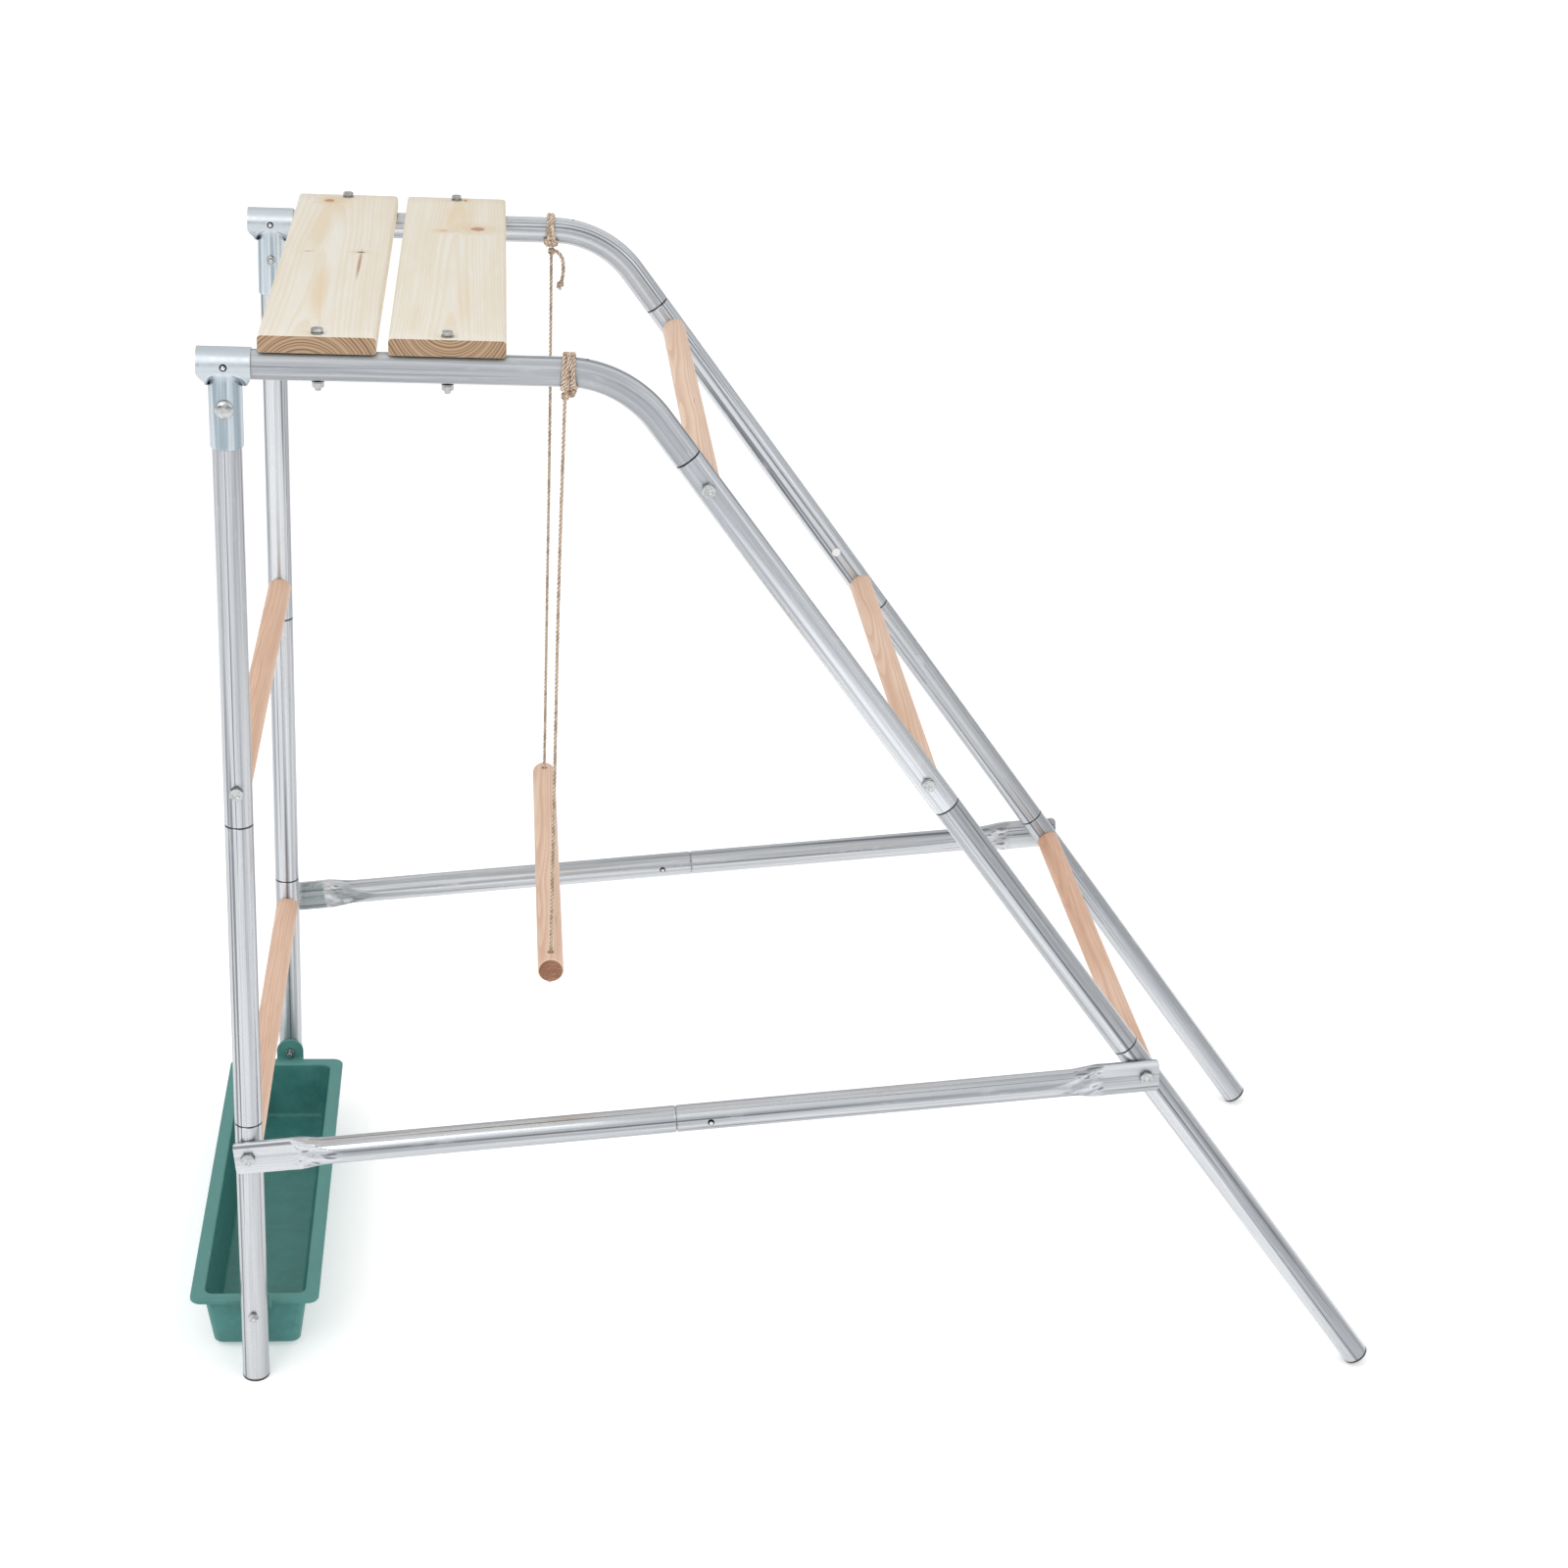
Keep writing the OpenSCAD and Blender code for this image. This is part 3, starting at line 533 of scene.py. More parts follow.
def makeDowelWood(name, pithX, pithZ, seed, fair):
    material, place = newMaterial(name, Specular_IOR_Level=0.35)
    local = vectorMath("SUBTRACT", place, (pithX, seed, pithZ))
    marks = useGroup(growthRings, {
        "Vector": local, "Pith X": dowelWood["pith"][0], "Pith Z": dowelWood["pith"][1],
        "Spacing": dowelWood["spacing"], "Wave": dowelWood["wave"], "Push": 0.0})
    thin = span(noise(local, (330, 9, 330)), 0.685, 0.72)
    crack = times(thin, span(noise(local, (12, 5, 12)), 0.55, 0.66))
    face = mix(span(marks["Tone"], 0.30, 0.70), dowelWood["pale"], dowelWood["deep"])
    face = mix(fair, face, dowelWood["fair"])
    face = layered(face, (marks["Rings"], 0.42, dowelWood["late"]),
                   (span(marks["Fibre"], 0.32, 0.70), 0.22, dowelWood["fibre"]),
                   (crack, 0.75, dowelWood["crack"]))
    saw = span(noise(local, (90, 90, 700), 3.0, 0.6), 0.5, 0.7)
    end = layered(dowelWood["end"], (marks["Rings"], 0.6, dowelWood["endLate"]), (saw, 0.4, dowelWood["saw"]))
    colour = mix(span(facingSides(), 0.80, 0.95), face, end)
    height = timesPlus(crack, -1.5, timesPlus(marks["Rings"], 0.4, marks["Fibre"]))
    return finished(material, colour, (height, 0.4, dowelWood["relief"]),
                    Roughness=span(marks["Fibre"], 0.3, 0.7, 0.42, 0.62))


yarn = {
    "deep": rgb(0.50, 0.36, 0.26), "pale": rgb(0.90, 0.755, 0.61), "patch": rgb(0.86, 0.68, 0.52),
    # the last colour on the next line is a near black painted as shade between the strands
    "lump": rgb(0.34, 0.225, 0.155), "groove": rgb(0.10, 0.055, 0.032),
}


def makeJute():
    material, place = newMaterial("juteYarn", Roughness=0.88, Specular_IOR_Level=0.2, Sheen_Weight=0.25)
    along = put("UVMap", {}, uv_map="ropeUv").outputs[0]
    fibres = noise(along, (16, 260, 1), 3.0, 0.65)
    patches = span(noise(place, 120.0, 3.0, 0.6), 0.35, 0.7)
    lumps = noise(place, 95.0, 1.0)
    colour = mix(span(fibres, 0.30, 0.70), yarn["deep"], yarn["pale"])
    colour = layered(colour, (patches, 0.35, yarn["patch"]))
    colour = mix(span(lumps, 0.52, 0.40, 0.0, 0.62), colour, yarn["lump"])
    # painted shade: close to the rope's middle line, in the grooves between the strands, the yarn is painted
    # near black
    depth = put("Attribute", {}, attribute_name="grooves").outputs["Fac"]
    colour = mix(span(depth, 0.97, 0.62), colour, yarn["groove"])
    return finished(material, colour, (fibres, 0.8, 0.5 * mm))


green = {
    "deep": rgb(0.042, 0.192, 0.178), "pale": rgb(0.062, 0.240, 0.222), "scratch": rgb(0.30, 0.48, 0.45),
    # the rim colour on the next line is a lighter green, painted light on the top of the rim
    "mark": rgb(0.26, 0.44, 0.42), "rim": rgb(0.14, 0.35, 0.315), "rimHeight": 95 * mm,
}


def makeGreenPlastic():
    material, place = newMaterial("greenPlastic", Specular_IOR_Level=0.45)
    marks = useGroup(scuffs, {"Vector": place, "Scale": 1.0})
    colour = layered(mix(span(marks["Mottle"], 0.3, 0.7), green["deep"], green["pale"]),
                     (marks["Scratches"], 0.4, green["scratch"]), (marks["Marks"], 0.22, green["mark"]))
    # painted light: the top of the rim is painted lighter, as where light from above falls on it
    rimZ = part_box("planter")[0].z + green["rimHeight"]
    rim = span(parts(place)[2], rimZ - 2.5 * mm, rimZ - 0.5 * mm, 0.0, 0.45)
    return finished(material, mix(rim, colour, green["rim"]), (marks["Mottle"], 0.18, 0.4 * mm),
                    Roughness=span(marks["Mottle"], 0.25, 0.75, 0.36, 0.54))


def makeBlackRubber():
    material, place = newMaterial("blackRubber", Specular_IOR_Level=0.35)
    marks = useGroup(scuffs, {"Vector": place, "Scale": 3.0})
    colour = layered(mix(marks["Mottle"], rgb(0.018, 0.018, 0.019), rgb(0.045, 0.045, 0.046)),
                     (marks["Marks"], 0.5, rgb(0.16, 0.155, 0.145)))
    return finished(material, colour, (marks["Mottle"], 0.3, 0.4 * mm),
                    Roughness=span(marks["Mottle"], 0.3, 0.7, 0.6, 0.82))


def makeSticker():
    material, place = newMaterial("whiteSticker", Specular_IOR_Level=0.5)
    marks = useGroup(scuffs, {"Vector": place, "Scale": 5.0})
    colour = layered(rgb(0.86, 0.86, 0.85), (marks["Marks"], 0.6, rgb(0.55, 0.55, 0.54)))
    return finished(material, colour, Roughness=span(marks["Mottle"], 0.3, 0.7, 0.30, 0.5))


lowRung = middle("post_rung_lower")
footRung = middle("ladder_rung_bottom")
braceLength = math.hypot(footRung.x - lowRung.x, footRung.z - lowRung.z)
braceTilt = math.atan2(footRung.z - lowRung.z, footRung.x - lowRung.x)

# lit and shaded copies of one steel: the last number is painted light, lighter for parts that catch more
# light, darker for parts in shade
postSteel = {"near": makeSteel("postSteel", "post", 0.89), "far": makeSteel("postSteelFar", "post", 1.06)}
topSteel = makeSteel("topSteelBent", "leg", 1.02)
legSteel = {
    "upper": makeSteel("legSteelBent", "leg", 1.16), "lower": makeSteel("legSteelBentLow", "leg", 0.98),
}
braceSteel = makeSteel("braceSteel", "brace", 0.96)
buttonZinc = makeButtonZinc()
sheetZinc = makeSheetZinc()
boltZinc = makeBoltZinc()
jute = makeJute()
greenPlastic = makeGreenPlastic()
blackRubber = makeBlackRubber()
sticker = makeSticker()
print("materials made")


def addTo(shape, points, faces):
    start = len(shape["points"])
    shape["points"] += [Vector(p) for p in points]
    shape["faces"] += [tuple(start + k for k in face) for face in faces]


def newShape():
    return {"points": [], "faces": []}


def loft(rings, closed=True, capStart=True, capEnd=True):
    count = len(rings[0])
    points = [p for ring in rings for p in ring]
    faces = []
    for i in range(len(rings) - 1):
        for k in range(count if closed else count - 1):
            a = i * count + k
            b = i * count + (k + 1) % count
            faces.append((a, b, b + count, a + count))
    if capStart:
        faces.append(tuple(range(count - 1, -1, -1)))
    if capEnd:
        faces.append(tuple(range((len(rings) - 1) * count, len(rings) * count)))
    return points, faces


def meshOf(name, shape):
    mesh = bpy.data.meshes.new(name)
    mesh.from_pydata([tuple(p) for p in shape["points"]], [], shape["faces"])
    if "uvs" in shape:
        layer = mesh.uv_layers.new(name="ropeUv")
        for k, uv in enumerate(shape["uvs"]):
            layer.data[k].uv = uv
        depth = mesh.attributes.new("grooves", "FLOAT", "POINT")
        depth.data.foreach_set("value", shape["grooves"])
    work = bmesh.new()
    work.from_mesh(mesh)
    bmesh.ops.recalc_face_normals(work, faces=work.faces)
    work.to_mesh(mesh)
    work.free()
    piece = bpy.data.objects.new(name, mesh)
    bpy.context.scene.collection.objects.link(piece)
    return piece


def makePiece(name, shape, material, stands=None, body="root", sharp=24, finish=None):
    # stands is the frame's node whose place the piece takes
    piece = meshOf(name, shape)
    piece.data.materials.append(material)
    if finish:
        finish(piece)
    piece.data.polygons.foreach_set("use_smooth", [True] * len(piece.data.polygons))
    piece.data.set_sharp_from_angle(angle=math.radians(sharp))
    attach(piece, body)
    if stands:
        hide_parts(stands)
    return piece


def applyModifiers(piece):
    ready = piece.evaluated_get(bpy.context.evaluated_depsgraph_get())
    mesh = bpy.data.meshes.new_from_object(ready)
    piece.modifiers.clear()
    piece.data = mesh


def combine(piece, shape, how="DIFFERENCE"):
    tool = meshOf("tool", shape)
    change = piece.modifiers.new("combine", "BOOLEAN")
    change.operation = how
    change.solver = "EXACT"
    change.object = tool
    applyModifiers(piece)
    bpy.data.objects.remove(tool)


def bore(piece, base, axis, radius, depth):
    tool = newShape()
    turned(tool, base, axis, ((radius, 0), (radius, depth)))
    combine(piece, tool)


def alongY(side):
    return Vector((0, side, 0))


def rounded(halfX, halfY, radius, steps):
    # a rectangle with round corners, as pairs round its middle
    outline = []
    for sx, sy, start in ((1, 1, 0), (-1, 1, 90), (-1, -1, 180), (1, -1, 270)):
        for step in range(steps + 1):
            a = math.radians(start + 90 * step / steps)
            outline.append((sx * (halfX - radius) + radius * math.cos(a),
                            sy * (halfY - radius) + radius * math.sin(a)))
    return outline


def ringRound(centre, u, v, radius, count):
    steps = [2 * math.pi * k / count for k in range(count)]
    return [centre + u * (radius * math.cos(a)) + v * (radius * math.sin(a)) for a in steps]


def sides(axis):
    axis = axis.normalized()
    spare = Vector((0, 0, 1)) if abs(axis.z) < 0.9 else Vector((1, 0, 0))
    u = axis.cross(spare).normalized()
    return u, axis.cross(u).normalized()


def turned(shape, base, axis, profile, count=48):
    # a profile of (radius, height) pairs turned round an axis
    u, v = sides(axis)
    axis = axis.normalized()
    rings = [ringRound(base + axis * h, u, v, r, count) for r, h in profile]
    points, faces = loft(rings)
    addTo(shape, points, faces)


def smooth(t):
    t = max(0.0, min(1.0, t))
    return t * t * (3 - 2 * t)


rope = {
    "diameter": 6.0 * mm, "lay": 19 * mm, "x": middle("rope_near").x,
    "offset": 0.262, "strand": 0.242, "sides": 8, "perTurn": 12, "endThin": 0.72,
    "taut": 4.9 * mm, "lead": {near: 2.5 * mm, far: -2 * mm}, "fromBarEnd": 22 * mm,
}


def finePath(points, step):
    # a smooth curve through the points, at even steps
    points = [Vector(p) for p in points]
    ends = [points[0] * 2 - points[1]] + points + [points[-1] * 2 - points[-2]]
    dense = []
    for i in range(1, len(ends) - 2):
        a, b, c, d = ends[i - 1:i + 3]
        parts = max(2, int((c - b).length / (step * 0.5)))
        for k in range(parts):
            t = k / parts
            dense.append(0.5 * ((2 * b) + (c - a) * t + (2 * a - 5 * b + 4 * c - d) * t * t
                                + (3 * b - a - 3 * c + d) * t ** 3))
    dense.append(points[-1].copy())
    lengths = [0.0]
    for i in range(1, len(dense)):
        lengths.append(lengths[-1] + (dense[i] - dense[i - 1]).length)
    count = max(2, round(lengths[-1] / step))
    even = []
    j = 0
    for i in range(count + 1):
        want = lengths[-1] * i / count
        while j < len(lengths) - 2 and lengths[j + 1] < want:
            j += 1
        t = (want - lengths[j]) / max(1e-9, lengths[j + 1] - lengths[j])
        even.append(dense[j].lerp(dense[j + 1], t))
    return even


def framesOf(points):
    # directions across the path that turn with it and don't twist
    last = len(points) - 1
    tangents = [(points[min(i + 1, last)] - points[max(i - 1, 0)]).normalized() for i in range(last + 1)]
    u, v = sides(tangents[0])
    frames = []
    for tangent in tangents:
        u = (u - tangent * u.dot(tangent)).normalized()
        frames.append((u.copy(), tangent.cross(u)))
    return frames


def addTube(shape, points, radii, count, travel, core):
    # core is the rope's own middle line: what lies near it is in a groove, which the yarn's material paints
    # dark as shade
    frames = framesOf(points)
    rings = [ringRound(p, u, v, r, count) for p, (u, v), r in zip(points, frames, radii)]
    made, faces = loft(rings)
    addTo(shape, made, faces)
    grooves = shape.setdefault("grooves", [])
    for ring, middleOfRope, r in zip(rings, core, radii):
        grooves += [max(0.0, min(1.0, (p - middleOfRope).length / (2 * r))) for p in ring]
    uvs = shape.setdefault("uvs", [])
    for i in range(len(points) - 1):
        for k in range(count):
            for du, dv in ((0, 0), (1, 0), (1, 1), (0, 1)):
                uvs.append(((k + du) / count, travel[i + dv]))
    uvs += [(0.5, travel[0])] * count + [(0.5, travel[-1])] * count


def addRope(shape, points, diameter, lay=None, tapered=True):
    lay = lay or rope["lay"] * diameter / rope["diameter"]
    path = finePath(points, lay / rope["perTurn"])
    frames = framesOf(path)
    step = (path[1] - path[0]).length
    for j in range(3):
        centres = []
        radii = []
        for i, (p, (u, v)) in enumerate(zip(path, frames)):
            a = 2 * math.pi * (i * step / lay + j / 3)
            centres.append(p + (u * math.cos(a) + v * math.sin(a)) * (rope["offset"] * diameter))
            ends = min(i, len(path) - 1 - i)
            radii.append(rope["strand"] * diameter * (rope["endThin"] if tapered and ends == 0 else 1.0))
        addTube(shape, centres, radii, rope["sides"], [i * step for i in range(len(path))], path)
    return path


def addStopper(shape, centre, diameter, radius, turns=2.25, stub=0.006):
    # a stopper knot: the end wound round itself, with a short end left under it
    steps = int(16 * turns)
    rise = diameter * 0.92
    coil = []
    for k in range(steps + 1):
        a = 2 * math.pi * turns * k / steps
        z = (k / steps - 0.5) * rise * turns * 0.86
        coil.append(centre + Vector((radius * math.cos(a), radius * math.sin(a), -z)))
    coil.append(coil[-1] + Vector((-radius * 0.3, 0, -stub)))
    addRope(shape, coil, diameter)


def makeHangingRope(side):
    # taut under the bar's weight, from the knot under the top tube to the knot under the bar
    shape = newShape()
    knotZ = topZ - 32 * mm
    barLow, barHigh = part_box("trapeze_bar")
    footY = barHigh.y - rope["fromBarEnd"]
    route = ((halfWidth, knotZ), (halfWidth - 22 * mm, knotZ - 268 * mm),
             (halfWidth - 44.5 * mm, knotZ - 542 * mm), (footY + 1.4 * mm, barHigh.z + 26 * mm),
             (footY, barHigh.z + 5 * mm), (footY, barHigh.z - 18 * mm), (footY, barLow.z - 6 * mm))
    points = [Vector((rope["x"], side * y, z)) for y, z in route]
    points[0].x += rope["lead"][side]
    addRope(shape, points, rope["taut"], rope["lay"])
    addStopper(shape, points[0], 4.4 * mm, 3.2 * mm, stub=0.001)
    addStopper(shape, Vector((rope["x"], side * footY, barLow.z - 4.6 * mm)), 4.8 * mm, 3.9 * mm, stub=0.005)
    name = sideNames[side]
    makePiece("rope" + name.capitalize(), shape, jute, "rope_" + name, "trapeze", sharp=60)


# unders are turns of wraps along the tube, millimetres over the winding's radius, and angle
ties = {
    "radius": tubeR + 3.1 * mm, "pitch": 5.6 * mm, "over": 4.4 * mm,
    near: {"x": 425 * mm, "wraps": 3, "unders": (
        ((1.5, 0, -40), (1.4, 2, -54), (0.9, 4, -64), (0.1, 4.5, -67), (-0.5, 3, -64), (-0.9, 0, -52)),
        ((1.3, 3, -48), (1.1, 6.5, -60), (0.5, 8.5, -66), (-0.2, 7.5, -67), (-0.6, 3, -61)))},
    far: {"x": 415 * mm, "wraps": 2, "hitches": ((212, 6.2 * mm), (229, 5.2 * mm)), "hitchLong": 19 * mm},
}


def onTube(side, x, radius, angle):
    # a point round the top tube: 0 is outwards, 90 up, 180 inwards
    a = math.radians(angle)
    return onSide(side, x, -radius * math.cos(a), topZ + radius * math.sin(a))


def makeTie(side):
    shape = newShape()
    mine = ties[side]
    radius = ties["radius"]
    pitch = ties["pitch"]
    start = mine["x"] - pitch * mine["wraps"] / 2
    # the crossing turns lie on the side that is seen from the front
    facing = 1 if side == near else -1
    wraps = [onTube(side, start + pitch * k / 24, radius, -90 + facing * k * 15)
             for k in range(24 * mine["wraps"] + 1)]
    addRope(shape, wraps, rope["diameter"] * 0.96)
    for shift, first, lift in ((0.0, 1, 1.0), (0.55, -1, 0.72)):
        # a turn that crosses over the wraps and is tucked in at both ends
        crossing = []
        for k in range(17):
            t = k / 16
            angle = -58 + 236 * t if facing > 0 else 238 - 236 * t
            x = mine["x"] + first * pitch * (mine["wraps"] / 2 + 0.1) * (1 - 2 * t) * (1 - 0.3 * shift)
            sunk = 0.88 * smooth((angle - 30) / 55)
            reach = radius + ties["over"] * lift * min(1.0, 4.5 * t, 4.5 * (1 - t)) * (1 - sunk)
            crossing.append(onTube(side, x, reach, angle))
        addRope(shape, crossing, rope["diameter"] * 0.9)
    # the end goes under the near wraps twice and is tucked in beside the hanging rope
    for turn in mine.get("unders", ()):
        under = [onTube(side, mine["x"] + steps * pitch, radius + lift * mm, angle)
                 for steps, lift, angle in turn]
        addRope(shape, under, rope["diameter"] * 0.9)
    # two hitches go over the far wraps, at the lower front
    for angle, tall in mine.get("hitches", ()):
        hitch = []
        for k in range(11):
            t = k / 10
            x = mine["x"] + (t - 0.5) * mine["hitchLong"]
            reach = radius - 1.6 * mm + tall * math.sin(math.pi * t) ** 0.6
            hitch.append(onTube(side, x, reach, angle + 8 * (t - 0.5)))
        addRope(shape, hitch, rope["diameter"] * 0.92)
    name = sideNames[side]
    makePiece("ropeTie" + name.capitalize(), shape, jute, "rope_tie_" + name, sharp=60)


# the loose end of the far tie, from the posts, along the tube and up from the ground, in millimetres
tailRoute = [(412, 372, 1489), (419, 371, 1488), (425, 369, 1486), (430, 367, 1481),
             (433, 366, 1474), (434, 366, 1466), (434, 366, 1457), (433, 366, 1448), (431, 366, 1440)]


def makeTail():
    route = [Vector((postX + x * mm, y * mm, z * mm)) for x, y, z in tailRoute]
    shape = newShape()
    path = addRope(shape, route, rope["diameter"])
    tail = makePiece("ropeTail", shape, jute, "rope_tail", sharp=60)
    shape = newShape()
    addStopper(shape, route[-1] + Vector((-1, 0, -3.2)) * mm, 5.0 * mm, 3.5 * mm, turns=1.75, stub=0.003)
    knot = makePiece("ropeTailKnot", shape, jute, sharp=60)
    length = sum((b - a).length for a, b in zip(path, path[1:]))
    return length


makeHangingRope(near)
makeHangingRope(far)
makeTie(near)
makeTie(far)
tailLength = makeTail()
print("ropes made, loose end", round(tailLength, 4), "m")


def finishNodes(names, material):
    for name in names:
        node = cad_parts[name]
        node.data.materials.clear()
        node.data.materials.append(material)


bothSides = ("near", "far")
for side, metal in postSteel.items():
    finishNodes([f"post_{part}_{side}" for part in ("upper", "middle", "foot")], metal)
finishNodes([f"leg_upper_{side}" for side in bothSides], legSteel["upper"])
finishNodes([f"leg_{part}_{side}" for part in ("middle", "foot") for side in bothSides], legSteel["lower"])
finishNodes([f"top_tube_{side}" for side in bothSides], topSteel)
finishNodes([f"{part}_plug_{side}" for part in ("post", "leg") for side in bothSides], blackRubber)
finishNodes(["button_springs"], boltZinc)
finishNodes(["number_discs"], sticker)

# how fair each rung's wood is
rungFairness = {
    "ladder_rung_top": 0.62, "ladder_rung_middle": 0.35, "ladder_rung_bottom": 0.05,
    "post_rung_upper": 0.18, "post_rung_lower": 0.12, "trapeze_bar": 0.30,
}
for number, (name, fair) in enumerate(rungFairness.items()):
    spot = middle(name)
    wood = makeDowelWood("wood_" + name, spot.x, spot.z, dowelWood["seedStep"] * number, fair)
    finishNodes([name], wood)
print("tubes, plugs and rungs finished")


# the stops are in millimetres from the plate's end, and past the swell
brace = {
    "plateEnd": 19 * mm, "plateLong": 60 * mm, "plateHalf": 25 * mm, "plateThick": 5 * mm,
    "swell": 90 * mm, "slim": 52 * mm, "dish": 0.25 * mm, "corner": 7 * mm,
    "joint": 600 * mm, "gap": 0.8 * mm, "neck": 2.5 * mm, "spigotR": 17.3 * mm, "boreR": 17.5 * mm,
    "spigot": 62 * mm, "button": 48 * mm, "buttonHole": 4.75 * mm, "boltHole": 5.3 * mm, "wall": 1.5 * mm,
    "endStops": (0, 0.6, 1.6, 3, 5, 7.5, 12), "pastSwell": (6, 30),
}
braceOut = -(tubeR + brace["plateThick"] / 2 + 0.1 * mm)


def onBrace(side, s, y, z):
    # s from the bolt of the short half, which is at the post on the near side only
    along = s if side == near else braceLength - s
    x = lowRung.x - postX + along * math.cos(braceTilt) - z * math.sin(braceTilt)
    return onSide(side, x, braceOut + y, lowRung.z + along * math.sin(braceTilt) + z * math.cos(braceTilt))


def braceRing(side, s, fromBolt, radius=None, count=72):
    # round tube, or, nearer to the bolt, a tube that is pressed flat
    t = (fromBolt - brace["plateLong"]) / brace["swell"]
    half = brace["plateThick"] / 2
    cut = half + (tubeR - half) * math.sin(max(0.0, min(1.0, t)) * math.pi / 2)
    slimming = smooth((fromBolt - brace["plateLong"]) / brace["slim"])
    high = brace["plateHalf"] + (tubeR - brace["plateHalf"]) * slimming
    corner = brace["plateEnd"] + fromBolt
    if corner < brace["corner"]:
        high -= brace["corner"] - math.sqrt(max(0.0, brace["corner"] ** 2 - (brace["corner"] - corner) ** 2))
    dish = brace["dish"] * (1 - smooth(t * 3))
    ring = []
    for k in range(count):
        a = 2 * math.pi * k / count
        if radius is not None:
            ring.append(onBrace(side, s, -radius * math.cos(a), radius * math.sin(a)))
            continue
        y = max(-cut, min(cut, tubeR * math.cos(a)))
        if y > half * 0.9:
            y -= dish * smooth((1 - abs(math.sin(a)) / 0.82) * 5)
        ring.append(onBrace(side, s, -y, high * math.sin(a)))
    return ring


def makeBrace(side, half):
    # s runs from the plate's end to the joint for the short half, and back for the long one
    short = half == "short"
    swellEnd = brace["plateLong"] + brace["swell"]

    def at(fromBolt):
        return fromBolt if short else braceLength - fromBolt

    stops = [-brace["plateEnd"] + d * mm for d in brace["endStops"]]
    stops += [i * 4 * mm for i in range(15)]
    stops += [brace["plateLong"] + brace["swell"] * i / 36 for i in range(37)]
    stops += [swellEnd + d * mm for d in brace["pastSwell"]]
    rings = [braceRing(side, at(d), d) for d in stops]
    jointAt = brace["joint"] if short else braceLength - brace["joint"] - brace["gap"]
    if short:
        inner = brace["spigotR"] - brace["wall"]
        spigotEnd = jointAt + brace["spigot"]
        tail = [(jointAt - 0.12, tubeR), (jointAt - brace["neck"] - 0.4 * mm, tubeR),
                (jointAt - brace["neck"], tubeR - 0.08 * mm), (jointAt, brace["spigotR"]),
                (spigotEnd - 0.5 * mm, brace["spigotR"]), (spigotEnd, brace["spigotR"] - 0.4 * mm),
                (spigotEnd, inner), (jointAt - 0.02, inner)]
    else:
        tail = [(jointAt - 0.12, tubeR), (jointAt - 0.4 * mm, tubeR), (jointAt, tubeR - 0.3 * mm),
                (jointAt, brace["boreR"]), (jointAt - 0.09, brace["boreR"])]
    rings += [braceRing(side, at(d), d, r) for d, r in tail]
    shape = newShape()
    addTo(shape, *loft(rings))

    def drill(piece):
        across = onBrace(side, 0, 1, 0) - onBrace(side, 0, 0, 0)
        reach = brace["plateThick"] * 2
        bore(piece, onBrace(side, at(0), -reach, 0), across, brace["boltHole"], 2 * reach)
        spot = onBrace(side, brace["joint"] + brace["button"], 0, 0)
        bore(piece, spot, alongY(-1), brace["buttonHole"], tubeR * 1.2)

    name = sideNames[side]
    makePiece(f"brace{half.capitalize()}{name.capitalize()}", shape, braceSteel,
              f"brace_{half}_{name}", finish=drill)


for side in (near, far):
    makeBrace(side, "short")
    makeBrace(side, "long")
print("braces made")


bracket = {
    "outR": 21.15 * mm, "sheet": 2 * mm, "left": -34 * mm, "right": 33 * mm, "low": -106 * mm,
    "seam": 3 * mm, "peak": -6.8 * mm, "droop": 14.5 * mm, "crease": 2.6 * mm,
    "hole": 4.7 * mm, "boltHole": 4.3 * mm, "boltZ": -53 * mm, "edge": 0.45 * mm, "fineFrom": -40 * mm,
}


def bracketEdge(z, wide, start, end):
    # half width of the pressed sheet: wide at the top tube, narrow round the post
    t = smooth((start - z) / (start - end))
    return wide + (math.copysign(bracket["outR"], wide) - wide) * t


def bracketCheek(t, z):
    # x, y on the near cheek, for t from -1 to 1 across the sheet
    limit = math.acos(bracket["seam"] / bracket["outR"])
    left = bracketEdge(z, bracket["left"], -7 * mm, -25 * mm)
    right = bracketEdge(z, bracket["right"], -13 * mm, -33 * mm)
    flat = (left + (right - left) * (t + 1) / 2, -bracket["outR"])
    angle = limit * t
    bent = (bracket["outR"] * math.sin(angle), -bracket["outR"] * math.cos(angle))
    line = bracket["peak"] - bracket["droop"] * t * t
    pressed = smooth((line - z) / (bracket["crease"] + 4 * mm * abs(t)))
    return (flat[0] + (bent[0] - flat[0]) * pressed, flat[1] + (bent[1] - flat[1]) * pressed)


